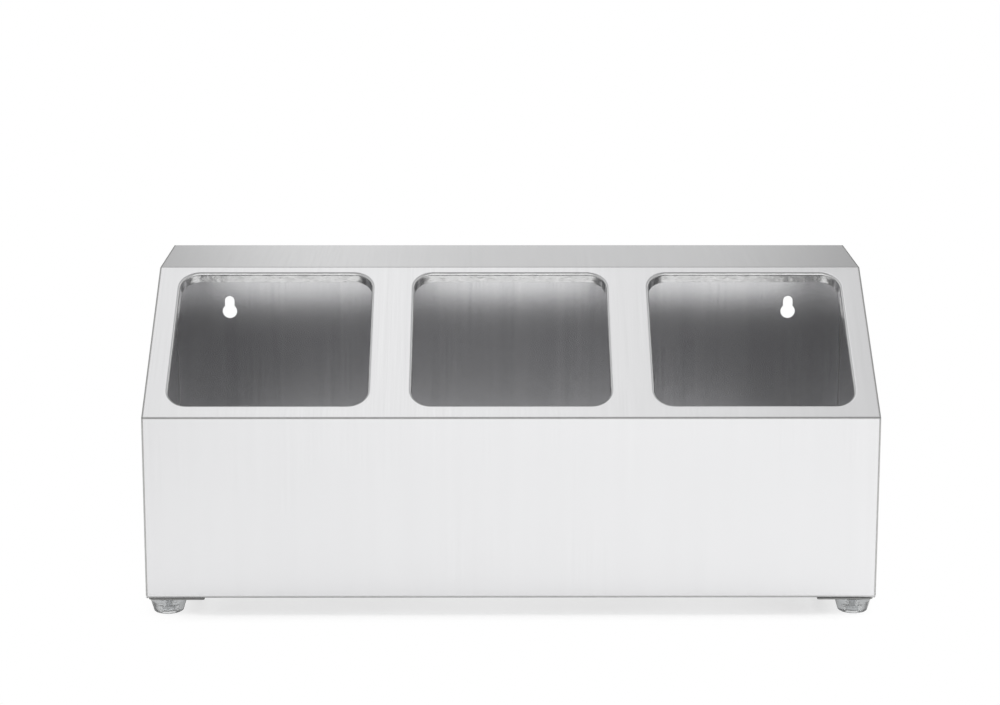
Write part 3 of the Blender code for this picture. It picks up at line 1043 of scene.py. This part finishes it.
@dataclass
class EndSheet:
    """Flat end of the rack, welded to the shell, with a bottom flange between two relief slots."""

    section: RackSection
    gauge: SheetGauge
    side: int
    relief_width: float = 0.0010
    ground_edge_radius: float = 0.0008
    ground_edge_steps: int = 6

    @property
    def bend_height(self) -> float:
        """Height at which the flange's bend starts."""
        return self.section.base + self.gauge.bend_radius

    @property
    def flange_span(self) -> tuple[float, float]:
        """Where the flange starts at the front and ends at the back."""
        inset = self.gauge.flange_width + self.gauge.seam_gap
        return self.section.front + inset, self.section.back - inset

    def cut_outline(self, sheet: Workpiece) -> None:
        """Cut the upright rectangle to the rack's section and round its corners.

        Args:
            sheet: Piece with the rectangle in place.
        """
        section, gauge = self.section, self.gauge
        sheet.cut(tuple(section.lower_fold), tuple(section.deck_normal), clear_outer=True)
        for corner, turn in (
            (section.lower_fold, QUARTER_TURN - section.deck_angle),
            (section.upper_fold, section.deck_angle),
            (Vector((0, section.front, section.base)), QUARTER_TURN),
            (Vector((0, section.back, section.base)), QUARTER_TURN),
        ):
            sheet.pick_corner(corner, "yz")
            sheet.round_corners(gauge.reach(turn), gauge.bend_steps)

    def cut_reliefs(self, sheet: Workpiece) -> None:
        """Free the bottom edge between the corners, and cut the slots beside it.

        Args:
            sheet: Piece with its outline cut.
        """
        front, back = self.flange_span
        for height in (self.bend_height, self.bend_height + self.relief_width):
            sheet.cut((0, 0, height), (0, 0, 1))
        for along in (front - self.relief_width, front, back, back + self.relief_width):
            sheet.cut((0, along, 0), (0, 1, 0))
        sheet.pick(Element.FACE, self.in_relief)
        bpy.ops.mesh.delete(type="FACE")

    def in_relief(self, face: bmesh.types.BMFace) -> bool:
        """Tell whether a face of the flat sheet lies below the flange's bend or in a slot."""
        spot = face.calc_center_bounds()
        front, back = self.flange_span
        in_reach = front - self.relief_width < spot.y < back + self.relief_width
        in_slot = not front < spot.y < back and spot.z < self.bend_height + self.relief_width
        return in_reach and (spot.z < self.bend_height or in_slot)

    def build(self) -> Workpiece:
        """Build the end sheet and leave it finished."""
        section, gauge, side = self.section, self.gauge, self.side
        outer = side * section.half_width
        sheet = Workpiece("left_end_sheet" if side < 0 else "right_end_sheet")
        middle = Vector((outer, (section.front + section.back) / 2, (section.base + section.top) / 2))
        sheet.rectangle(middle, section.height, section.depth, (0, QUARTER_TURN, 0))
        self.cut_outline(sheet)
        self.cut_reliefs(sheet)
        front, back = self.flange_span
        sheet.pick(
            Element.EDGE,
            lambda edge: edge.is_boundary
            and all(abs(end.co.z - self.bend_height) < PLACE_TOLERANCE for end in edge.verts)
            and front - PLACE_TOLERANCE < min(end.co.y for end in edge.verts)
            and max(end.co.y for end in edge.verts) < back + PLACE_TOLERANCE,
        )
        bend = Vector((outer - side * gauge.bend_radius, 0, self.bend_height))
        sheet.fold(bend, side * QUARTER_TURN, gauge.bend_steps, (0, 1, 0))
        sheet.extrude((-side * (gauge.flange_width - gauge.bend_radius), 0, 0))
        sheet.face_towards((side, 0, 0))
        sheet.end_editing()
        sheet.thicken(gauge.thickness)
        sheet.resume()
        slot_top = self.bend_height + self.relief_width + PLACE_TOLERANCE
        sheet.pick(
            Element.EDGE,
            lambda edge: edge.calc_face_angle(0) > SHARP_EDGE_ANGLE
            and all(abs(end.co.x - outer) < PLACE_TOLERANCE for end in edge.verts)
            and min(end.co.z for end in edge.verts) > slot_top,
        )
        sheet.round_edges(self.ground_edge_radius, self.ground_edge_steps)
        sheet.end_editing()
        sheet.soften(gauge.cut_edge_radius)
        # The roundings stand a few microns proud where they meet, so they are pressed flat
        sheet.resume()
        sheet.pick(Element.VERTEX, lambda corner: side * corner.co.x > section.half_width)
        bpy.ops.transform.resize(value=(0, 1, 1), center_override=(outer, 0, 0))
        sheet.end_editing()
        sheet.shade()
        return sheet

    def is_ground_and_shaded_edge(self, face: bpy.types.MeshPolygon) -> bool:
        """Tell whether a face of the finished sheet lies on its ground outer edge, which is darkened partly as
        painted shade.
        """
        aside = self.section.half_width - abs(face.center.x)
        above_flange = face.center.z > self.bend_height
        return above_flange and aside < self.gauge.thickness and abs(face.normal.x) < FLAT_LIMIT


@dataclass
class SeamWelds:
    """Weld beads, ground flush, that close the seams between the shell, the back sheet and the end sheets."""

    section: RackSection
    gauge: SheetGauge
    overlap: float = 0.00005

    def end_seam(self, side: int) -> Workpiece:
        """Build the bead between the shell and one end sheet.

        Args:
            side: -1 for the left end and 1 for the right one.

        Returns:
            The finished bead.
        """
        section, gauge = self.section, self.gauge
        bead = Workpiece("left_seam_weld" if side < 0 else "right_seam_weld")
        middle = side * (section.shell_half_width + gauge.seam_gap / 2)
        section.add_deck(bead, gauge, middle, gauge.seam_gap + 2 * self.overlap)
        bead.end_editing()
        section.fold_from_deck(bead, gauge, flanged=False)
        bpy.ops.mesh.select_all(action="SELECT")
        bpy.ops.transform.shrink_fatten(value=-self.overlap)
        bead.end_editing()
        bead.thicken(gauge.thickness)
        bead.shade()
        return bead

    def bar(self, name: str, low: Vector, high: Vector) -> Workpiece:
        """Build a straight bead in the box between two corners.

        Args:
            name: Name of the bead.
            low: Lowest corner.
            high: Highest corner.

        Returns:
            The finished bead.
        """
        bead = Workpiece(name)
        middle = (low + high) / 2
        bead.rectangle(Vector((middle.x, middle.y, low.z)), high.x - low.x, high.y - low.y)
        bead.extrude((0, 0, high.z - low.z))
        bead.close_skin()
        bead.end_editing()
        bead.soften(self.overlap)
        bead.shade()
        return bead

    def build(self) -> list[Workpiece]:
        """Build every bead and leave them finished."""
        section, gauge, sink = self.section, self.gauge, self.overlap
        beads = [self.end_seam(side) for side in (-1, 1)]
        width = section.shell_half_width
        near, far = section.back - gauge.thickness, section.back - sink
        under_top = section.top - gauge.thickness
        low = Vector((-width, near, under_top - gauge.seam_gap - sink))
        beads.append(self.bar("top_back_seam_weld", low, Vector((width, far, under_top + sink))))
        for side, name in ((-1, "left_back_seam_weld"), (1, "right_back_seam_weld")):
            start, end = sorted((side * (width - sink), side * (width + gauge.seam_gap + sink)))
            low = Vector((start, near, section.base + gauge.bend_radius))
            beads.append(self.bar(name, low, Vector((end, far, under_top))))
        return beads


@dataclass
class CornerPlate:
    """Plate welded under a corner of the flanges, drawn about the screw that it is pierced for."""

    across: int
    along: int
    name: str
    axis: Vector
    side: float = 0.0430
    # Distance of the two outer edges from the screw's axis
    outer_edge: float = 0.01401878
    thickness: float = 0.0015
    top: float = 0.0138
    outer_corner_radius: float = 0.0040
    inner_corner_radius: float = 0.0015
    corner_steps: int = 8
    hole_radius: float = 0.0028
    hole_sides: int = 48
    edge_radius: float = 0.00018

    def build(self) -> Workpiece:
        """Build the plate and leave it finished."""
        inward = self.outer_edge - self.side / 2
        middle = self.axis + Vector((self.across * inward, self.along * inward, self.top))
        plate = Workpiece(f"pierced_plate_{self.name}")
        plate.rectangle(middle, self.side, self.side)
        for x, y in product((-1, 1), repeat=2):
            is_outer = (x, y) == (self.across, self.along)
            radius = self.outer_corner_radius if is_outer else self.inner_corner_radius
            plate.pick_corner(middle + Vector((x, y, 0)) * self.side / 2, "xy")
            plate.round_corners(radius, self.corner_steps)
        plate.face_towards((0, 0, 1))
        plate.end_editing()
        plate.thicken(self.thickness)
        low, high = self.top - 2 * self.thickness, self.top + self.thickness
        plate.drill(self.hole_radius, low, high, self.hole_sides, self.axis.xy)
        plate.soften(self.edge_radius)
        plate.shade()
        return plate


@dataclass
class RubberFoot:
    """Tapered foot with a straight collar, bored for its screw and recessed below for head and washer."""

    height: float = 0.0120
    top_radius: float = 0.0140
    bottom_radius: float = 0.0112
    collar_height: float = 0.0026
    bottom_edge_radius: float = 0.0008
    bottom_edge_steps: int = 6
    moulded_edge_radius: float = 0.00025
    moulded_edge_steps: int = 3
    bore_radius: float = 0.0028
    bore_start: float = 0.0059
    recess_radius: float = 0.0053
    sides: int = 72

    def build(self) -> Workpiece:
        """Build the foot about the Z axis and leave it finished."""
        collar = self.height - self.collar_height
        foot = Workpiece("moulded_foot")
        foot.cylinder(self.top_radius, collar, self.height, self.sides)
        self.pick_end(foot, collar, -1)
        foot.extrude((0, 0, -collar))
        foot.taper(self.bottom_radius / self.top_radius)
        foot.inset(self.bottom_radius - self.recess_radius)
        foot.extrude((0, 0, self.bore_start))
        foot.inset(self.recess_radius - self.bore_radius)
        foot.extrude((0, 0, self.height - self.bore_start))
        foot.open_selected()
        self.pick_end(foot, self.height, 1)
        foot.inset(self.top_radius - self.bore_radius)
        foot.open_selected()
        foot.close_skin()
        foot.pick_ring(self.bottom_radius, 0)
        foot.round_edges(self.bottom_edge_radius, self.bottom_edge_steps)
        for radius, height in (
            (self.recess_radius, 0),
            (self.top_radius, collar),
            (self.top_radius, self.height),
        ):
            foot.pick_ring(radius, height)
            foot.round_edges(self.moulded_edge_radius, self.moulded_edge_steps)
        foot.end_editing()
        foot.shade()
        return foot

    def pick_end(self, foot: Workpiece, height: float, way: int) -> None:
        """Select the flat end at a height that looks up (way 1) or down (way -1)."""
        foot.pick(
            Element.FACE,
            lambda face: face.normal.z * way > FLAT_LIMIT
            and abs(face.calc_center_bounds().z - height) < PLACE_TOLERANCE,
        )


@dataclass
class FootScrew:
    """M5 pan-head screw with a cross recess, head down in the foot's recess."""

    head_radius: float = 0.00475
    head_bottom: float = 0.0010
    head_top: float = 0.0043
    head_rounding: float = 0.0018
    head_rounding_steps: int = 8
    thread_radius: float = 0.0025
    thread_pitch: float = 0.0008
    thread_depth: float = 0.00045
    # Shares of a pitch at which one ridge starts, reaches its crest, leaves it and ends
    thread_flanks: tuple = (0, 0.45, 0.55, 1)
    thread_top: float = 0.0201
    recess_length: float = 0.0052
    recess_width: float = 0.0012
    recess_depth: float = 0.0018
    recess_taper: float = 0.6
    sides: int = 48

    def thread(self) -> Workpiece:
        """Build the threaded shank as a closed solid that starts inside the head."""
        start = self.head_top - 2 * self.thread_pitch
        turns = math.ceil((self.thread_top - start) / self.thread_pitch) + 2
        root = self.thread_radius - self.thread_depth
        low = start - self.thread_pitch / 2
        shank = Workpiece("screw_thread")
        shape = bmesh.from_edit_mesh(shank.thing.data)
        corners = [
            shape.verts.new((radius, 0, low + self.thread_pitch * share))
            for radius, share in zip((root, self.thread_radius, self.thread_radius, root), self.thread_flanks)
        ]
        for first, second in zip(corners, corners[1:]):
            shape.edges.new((first, second))
        bmesh.update_edit_mesh(shank.thing.data)
        shank.end_editing()
        shank.apply(
            "SCREW",
            axis="Z",
            screw_offset=self.thread_pitch,
            iterations=turns,
            steps=self.sides // 2,
            render_steps=self.sides // 2,
            use_merge_vertices=True,
            merge_threshold=MERGE_DISTANCE,
        )
        shank.resume()
        bpy.ops.mesh.select_all(action="SELECT")
        bpy.ops.mesh.remove_doubles(threshold=MERGE_DISTANCE)
        for height, way in ((start + self.thread_pitch, -1), (self.thread_top, 1)):
            shank.cut((0, 0, height), (0, 0, way), clear_outer=True, fill=True)
        return shank

    def recess_blade(self, turned: bool) -> Workpiece:
        """Build one tapered blade of the cross that the recess is cut with.

        Args:
            turned: Whether the blade lies along Y instead of X.

        Returns:
            The blade, open for editing.
        """
        length, width = self.recess_length, self.recess_width
        size = (width, length) if turned else (length, width)
        blade = Workpiece("cross_blade")
        blade.rectangle(Vector((0, 0, 0)), *size)
        blade.extrude((0, 0, self.head_bottom + self.recess_depth))
        blade.taper(self.recess_taper)
        return blade

    def build(self) -> Workpiece:
        """Build the screw about the Z axis and leave it finished."""
        screw = Workpiece("pan_head_screw")
        screw.cylinder(self.head_radius, self.head_bottom, self.head_top, self.sides)
        screw.pick_ring(self.head_radius, self.head_bottom)
        screw.round_edges(self.head_rounding, self.head_rounding_steps)
        screw.end_editing()
        screw.cut_with(self.thread(), "UNION")
        for turned in (False, True):
            screw.cut_with(self.recess_blade(turned))
        bpy.ops.object.shade_smooth_by_angle(angle=SMOOTH_ANGLE)
        return screw


@dataclass
class FlatWasher:
    """Stamped flat washer between the screw's head and the foot."""

    bottom: float = 0.0046
    top: float = 0.0056
    outer_radius: float = 0.0050
    hole_radius: float = 0.0027
    edge_radius: float = 0.00015
    sides: int = 56

    def build(self) -> Workpiece:
        """Build the washer about the Z axis and leave it finished."""
        washer = Workpiece("stamped_washer")
        washer.cylinder(self.outer_radius, self.bottom, self.top, self.sides)
        washer.end_editing()
        washer.drill(self.hole_radius, 0, 2 * self.top, self.sides)
        washer.soften(self.edge_radius)
        washer.shade()
        return washer


@dataclass
class HexNut:
    """Hexagon nut with both faces chamfered, turned tight on the corner plate."""

    bottom: float = 0.0141
    height: float = 0.0040
    across_flats: float = 0.0080
    chamfer: float = 0.0007
    bore_radius: float = 0.0024
    edge_radius: float = 0.00008
    edge_angle: float = math.radians(25)
    sides: int = 48

    def build(self) -> Workpiece:
        """Build the nut about the Z axis and leave it finished."""
        top = self.bottom + self.height
        corner_radius = self.across_flats / math.sqrt(3)
        nut = Workpiece("chamfered_nut")
        nut.cylinder(corner_radius, self.bottom, top, 6)
        nut.end_editing()
        blank = Workpiece("nut_blank")
        blank.cylinder(corner_radius, self.bottom, top, self.sides)
        for height in (self.bottom, top):
            blank.pick_ring(corner_radius, height)
            blank.round_edges(self.chamfer / 2, 1)
        nut.cut_with(blank, "INTERSECT")
        nut.drill(self.bore_radius, self.bottom - self.height, top + self.height, self.sides)
        nut.soften(self.edge_radius, angle=self.edge_angle)
        nut.shade()
        return nut


@dataclass
class FootSets:
    """The four corners' plates, feet, screws, washers and nuts."""

    rubber: bpy.types.Material
    zinc: bpy.types.Material
    plate_steel: bpy.types.Material

    def build(self) -> None:
        """Build one of each part, copy it to every corner and hand the copies over."""
        parts = (
            ("rubber_foot", RubberFoot().build(), self.rubber, Slot.RUBBER),
            ("foot_screw", FootScrew().build(), self.zinc, Slot.HARDWARE),
            ("foot_washer", FlatWasher().build(), self.zinc, Slot.HARDWARE),
            ("foot_nut", HexNut().build(), self.zinc, Slot.HARDWARE),
        )
        for depth_name, along in (("front", -1), ("back", 1)):
            for side_name, across in (("left", -1), ("right", 1)):
                corner = f"{depth_name}_{side_name}"
                low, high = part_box(f"foot_screw_{corner}")
                axis = Vector(((low.x + high.x) / 2, (low.y + high.y) / 2, 0))
                plate = CornerPlate(across, along, corner, axis).build()
                plate.hand_over(self.plate_steel, Slot.STAINLESS, f"corner_plate_{corner}")
                for node, part, material, slot in parts:
                    copy = part.duplicate(f"{part.thing.name}_{corner}", axis)
                    copy.hand_over(material, slot, f"{node}_{corner}")
        for _, part, _, _ in parts:
            bpy.data.objects.remove(part.thing, do_unlink=True)


@dataclass
class Studio:
    """Plain photographic studio: camera, pale floor, soft light and the surroundings that the metal shows.

    A band of the floor is an axis, a middle on it, and how far from there a change starts and ends.
    """

    camera_place: tuple = (-0.0191, -1.9347, 0.6437)
    pitch: float = math.radians(-11.145)
    yaw: float = math.radians(-0.313)
    roll: float = math.radians(-0.055)
    lens: float = 89.64
    sensor_width: float = 36
    shift_down: float = 0.1
    floor_radius: float = 9.0
    floor_sides: int = 96
    # Air under the clear feet, so that their lower faces don't lie in the floor
    floor_gap: float = 0.0001
    # The floor's own glow, and how much of the light on it is added, to the camera and in the metal
    camera_glow: float = 0.56
    camera_share: float = 0.44
    metal_share: float = 0.94
    # To the camera the floor fades to pure white over these bands
    white_bands: tuple = (("X", 0.0, 0.212, 0.292), ("Y", 0.0, 0.108, 0.132))
    # In the metal it is shaded under the rack, brighter before and behind it, and dimmer far to the sides
    shade_level: float = 0.34
    shade_bands: tuple = (("X", 0.0, 0.26, 0.29), ("Y", 0.0, 0.08, 0.12))
    far_level: float = 1.10
    far_bands: tuple = (("Y", 0.0, 0.50, 0.90),)
    pool_rest: float = 0.60
    pool_bands: tuple = (("X", 0.04, 0.35, 0.80),)
    # Added under the openings, whose rims show the floor that the light through them falls on
    under_glow: float = 0.95
    under_bands: tuple = (("X", -0.01, 0.22, 0.29), ("Y", -0.022, 0.01, 0.045))
    ceiling_level: float = 1.76
    backdrop_level: float = 1.22
    upper_wall_level: float = 0.54
    camera_wall_level: float = 0.46
    # Where the backdrop and the ceiling are brightest, as the X part of the direction to them
    backdrop_peak: float = -0.062
    ceiling_peak: float = -0.04
    lamp_place: tuple = (0.45, -0.32, 1.92)
    lamp_size: tuple = (2.4, 1.6)
    lamp_energy: float = 35

    def add_camera(self) -> None:
        """Place the camera where the photograph was taken from."""
        data = bpy.data.cameras.new("studio_camera")
        data.lens = self.lens
        data.sensor_width = self.sensor_width
        data.shift_y = -self.shift_down
        camera = bpy.data.objects.new("studio_camera", data)
        camera.location = self.camera_place
        camera.rotation_euler = (QUARTER_TURN + self.pitch, self.roll, self.yaw)
        bpy.context.scene.collection.objects.link(camera)
        bpy.context.scene.camera = camera

    def floor_fade(self, tree: bpy.types.NodeTree, bands: tuple) -> bpy.types.NodeSocket:
        """Let a value rise from the middle of a part of the floor to its outside.

        Args:
            tree: Node tree of the floor's material.
            bands: One band or two that bound the part.

        Returns:
            A socket that is 0 inside all the bands and 1 outside any of them.
        """
        place = add_node(tree, "ShaderNodeTexCoord")
        parts = add_node(tree, "ShaderNodeSeparateXYZ", links={0: place.outputs["Object"]})
        rises = []
        for axis, middle, start, end in bands:
            offset = add_node(
                tree, "ShaderNodeMath", {"operation": "SUBTRACT", 1: middle}, {0: parts.outputs[axis]}
            )
            distance = add_node(tree, "ShaderNodeMath", {"operation": "ABSOLUTE"}, {0: offset.outputs[0]})
            rise = add_node(
                tree,
                "ShaderNodeMapRange",
                {"interpolation_type": "SMOOTHSTEP", "From Min": start, "From Max": end},
                {"Value": distance.outputs[0]},
            )
            rises.append(rise.outputs["Result"])
        highest = add_node(tree, "ShaderNodeMath", {"operation": "MAXIMUM"}, {0: rises[0], 1: rises[-1]})
        return highest.outputs[0]

    def floor_level(self, tree: bpy.types.NodeTree, *parts: tuple) -> bpy.types.NodeSocket:
        """Multiply the levels that parts of the floor have.

        Args:
            tree: Node tree of the floor's material.
            parts: For each part its level, the level outside it, and its bands.

        Returns:
            A socket with the product.
        """
        total = None
        for inside, outside, bands in parts:
            level = add_node(
                tree,
                "ShaderNodeMapRange",
                {"To Min": inside, "To Max": outside},
                {"Value": self.floor_fade(tree, bands)},
            ).outputs["Result"]
            if total is not None:
                links = {0: total, 1: level}
                level = add_node(tree, "ShaderNodeMath", {"operation": "MULTIPLY"}, links).outputs[0]
            total = level
        return total

    def add_floor(self) -> None:
        """Lay a pale floor that is white to the camera, keeps a faint shadow and is clear from below."""
        bpy.ops.object.select_all(action="DESELECT")
        bpy.ops.mesh.primitive_circle_add(
            vertices=self.floor_sides,
            radius=self.floor_radius,
            fill_type="NGON",
            location=(0, 0, -self.floor_gap),
        )
        floor = bpy.context.object
        floor.name = "studio_floor"
        material, tree = empty_material("pale_floor_paper")
        share = self.camera_share
        paper = add_node(tree, "ShaderNodeBsdfDiffuse", {"Color": (share, share, share, 1)})
        glow = add_node(tree, "ShaderNodeEmission", {"Strength": self.camera_glow})
        near = add_node(tree, "ShaderNodeAddShader", links={0: paper.outputs["BSDF"], 1: glow.outputs[0]})
        white = add_node(tree, "ShaderNodeEmission", {"Strength": 1.0})
        far_off = self.floor_fade(tree, self.white_bands)
        shown = add_node(
            tree, "ShaderNodeMixShader", links={0: far_off, 1: near.outputs[0], 2: white.outputs[0]}
        )
        lit = self.floor_level(
            tree,
            (self.metal_share, self.metal_share * self.pool_rest, self.pool_bands),
            (self.shade_level, 1.0, self.shade_bands),
            (1.0, self.far_level, self.far_bands),
        )
        under = self.floor_level(tree, (self.under_glow, 0.0, self.under_bands))
        pool_paper = add_node(tree, "ShaderNodeBsdfDiffuse", links={"Color": lit})
        under_paper = add_node(tree, "ShaderNodeEmission", links={"Strength": under})
        mirrored = add_node(
            tree, "ShaderNodeAddShader", links={0: pool_paper.outputs["BSDF"], 1: under_paper.outputs[0]}
        )
        clear = add_node(tree, "ShaderNodeBsdfTransparent")
        side = add_node(tree, "ShaderNodeNewGeometry")
        path = add_node(tree, "ShaderNodeLightPath")
        # Rays through the clear rubber are glossy ones too, and see the floor as the camera does
        in_metal = add_node(
            tree,
            "ShaderNodeMath",
            {"operation": "SUBTRACT", "use_clamp": True},
            {0: path.outputs["Is Glossy Ray"], 1: path.outputs["Is Transmission Ray"]},
        )
        above = add_node(
            tree,
            "ShaderNodeMixShader",
            links={0: in_metal.outputs[0], 1: shown.outputs[0], 2: mirrored.outputs[0]},
        )
        surface = add_node(
            tree,
            "ShaderNodeMixShader",
            links={0: side.outputs["Backfacing"], 1: above.outputs[0], 2: clear.outputs[0]},
        )
        add_node(tree, "ShaderNodeOutputMaterial", links={"Surface": surface.outputs[0]})
        floor.data.materials.append(material)

    def add_surroundings(self) -> None:
        """Surround the rack with a soft ceiling, a backdrop and a dim wall behind the camera."""
        world = bpy.data.worlds.new("studio_surroundings")
        bpy.context.scene.world = world
        world.use_nodes = True
        tree = world.node_tree
        tree.nodes.clear()
        levels = self.wall_levels(tree)
        backdrop, upper_wall = (
            add_node(
                tree, "ShaderNodeMath", {"operation": "MULTIPLY"}, {0: levels[name], 1: levels[fade]}
            ).outputs[0]
            for name, fade in (("backdrop", "backdrop_sides"), ("upper_wall", "upper_sides"))
        )
        strength = levels["camera_side"]
        for share, upper in (
            ("behind", backdrop),
            ("above_backdrop", upper_wall),
            ("overhead", levels["ceiling"]),
        ):
            strength = add_node(
                tree, "ShaderNodeMix", {"data_type": "FLOAT"}, {0: levels[share], 2: strength, 3: upper}
            ).outputs[0]
        path = add_node(tree, "ShaderNodeLightPath")
        direct = add_node(
            tree,
            "ShaderNodeMath",
            {"operation": "MAXIMUM"},
            {0: path.outputs["Is Camera Ray"], 1: path.outputs["Is Transmission Ray"]},
        )
        shown = add_node(
            tree, "ShaderNodeMix", {"data_type": "FLOAT", 3: 1.0}, {0: direct.outputs[0], 2: strength}
        )
        background = add_node(tree, "ShaderNodeBackground", links={"Strength": shown.outputs[0]})
        add_node(tree, "ShaderNodeOutputWorld", links={"Surface": background.outputs[0]})

    def wall_levels(self, tree: bpy.types.NodeTree) -> dict[str, bpy.types.NodeSocket]:
        """Let the brightness of each part of the surroundings change softly with the direction.

        Args:
            tree: Node tree of the world.

        Returns:
            A socket for each part's brightness and for each share of one part against the next.
        """
        way = add_node(tree, "ShaderNodeTexCoord")
        parts = add_node(tree, "ShaderNodeSeparateXYZ", links={0: way.outputs["Generated"]})
        places = {axis: parts.outputs[axis] for axis in "XYZ"}
        for name, middle in (("middle", 0.0), ("peak", self.backdrop_peak), ("ceiling", self.ceiling_peak)):
            aside = add_node(
                tree, "ShaderNodeMath", {"operation": "SUBTRACT", 1: middle}, {0: parts.outputs["X"]}
            )
            distance = add_node(tree, "ShaderNodeMath", {"operation": "ABSOLUTE"}, {0: aside.outputs[0]})
            places[f"beside_{name}"] = distance.outputs[0]
        # Name, part of the direction, where in it the change starts and ends, and the levels before and after
        steps = (
            ("backdrop", "beside_peak", 0.0, 0.055, self.backdrop_level, self.backdrop_level * 0.78),
            ("backdrop_sides", "beside_middle", 0.09, 0.17, 1.0, 0.48),
            ("camera_side", "beside_middle", 0.2, 0.6, 1.04, 0.65),
            ("behind", "Y", -0.2, 0.2, 0.0, 1.0),
            ("above_backdrop", "Z", 0.24, 0.36, 0.0, 1.0),
            ("upper_wall", "Y", -0.3, 0.4, self.camera_wall_level, self.upper_wall_level),
            ("upper_sides", "beside_middle", 0.30, 0.60, 1.0, 1.8),
            ("overhead", "Z", 0.80, 0.95, 0.0, 1.0),
            ("ceiling", "beside_ceiling", 0.0, 0.38, self.ceiling_level, self.ceiling_level * 0.3),
        )
        return {
            name: add_node(
                tree,
                "ShaderNodeMapRange",
                {
                    "interpolation_type": "SMOOTHSTEP",
                    "From Min": start,
                    "From Max": end,
                    "To Min": low,
                    "To Max": high,
                },
                {"Value": places[place]},
            ).outputs["Result"]
            for name, place, start, end, low, high in steps
        }

    def add_lamp(self) -> None:
        """Hang a broad soft lamp over the rack, to its right and front, that reflections don't show."""
        data = bpy.data.lights.new("overhead_softbox", "AREA")
        data.shape = "RECTANGLE"
        data.size, data.size_y = self.lamp_size
        data.energy = self.lamp_energy
        lamp = bpy.data.objects.new("overhead_softbox", data)
        lamp.location = self.lamp_place
        lamp.rotation_euler = Vector(self.lamp_place).to_track_quat("Z", "Y").to_euler()
        lamp.visible_glossy = False
        bpy.context.scene.collection.objects.link(lamp)

    def build(self) -> None:
        """Set up the whole studio."""
        self.add_camera()
        self.add_floor()
        self.add_surroundings()
        self.add_lamp()


def main() -> None:
    """Build the rack's pieces and the studio in order."""
    logging.basicConfig(level=logging.INFO, format="%(name)s: %(message)s")
    section = RackSection.from_frame()
    gauge = SheetGauge()
    steel = BrushedStainless("brushed_stainless_sheet", Grain.ACROSS_X).make()
    end_steel = BrushedStainless("brushed_stainless_end_sheet", Grain.ACROSS_Y).make()
    back_steel = BrushedStainless(
        "brushed_stainless_back_sheet",
        Grain.ACROSS_X,
        colour="#E0E0E1",
        line_colour="#D4D4D6",
        roughness_spread=0.015,
        anisotropy=0.5,
        line_relief=0.000003,
        pull=0.0006,
    ).make()
    # Name, colour, darker colour, roughness, and the size and relief of the ripples
    bend = GrainlessStainless("stainless_bend_with_painted_shade", "#C8C8C8", "#B6B6B6", 0.30, 0.004, 0.00004).make()
    rim = GrainlessStainless("stainless_rim_with_painted_highlight", "#EEEEEE", "#D0D0D0", 0.22, 0.006, 0.00040).make()
    weld = GrainlessStainless("ground_weld_and_painted_edge_shade", "#C0C0BF", "#9E9E9D", 0.42, 0.0012, 0.00004).make()
    plate = GrainlessStainless("dark_dull_stainless_plate", "#8F8F8E", "#7D7D7C", 0.48, 0.003, 0.00003).make()
    Studio().build()
    shell = FoldedShell(section, gauge)
    pressed = shell.build()
    pressed.hand_over(steel, Slot.STAINLESS, "folded_shell")
    # The rims take a lighter colour, a painted highlight for the light that they reflect from under the
    # openings
    pressed.refinish(rim, shell.is_on_rim)
    # The long bends take a darker grey, painted shade for the dark lines along the folds
    pressed.refinish(bend, shell.is_on_long_bend)
    BackSheet(section, gauge).build().hand_over(back_steel, Slot.STAINLESS, "back_panel")
    for side, node in ((-1, "left_end_panel"), (1, "right_end_panel")):
        end = EndSheet(section, gauge, side)
        sheet = end.build()
        sheet.hand_over(end_steel, Slot.STAINLESS, node)
        # The outer edges take the weld's grey, partly that of ground steel and partly painted shade for the
        # dark side lines
        sheet.refinish(weld, end.is_ground_and_shaded_edge)
    for bead in SeamWelds(section, gauge).build():
        bead.hand_over(weld, Slot.STAINLESS)
    FootSets(ClearRubber().make(), ZincPlate().make(), plate).build()
    bpy.context.scene.view_settings.view_transform = "Standard"


if __name__ == "__main__":
    main()
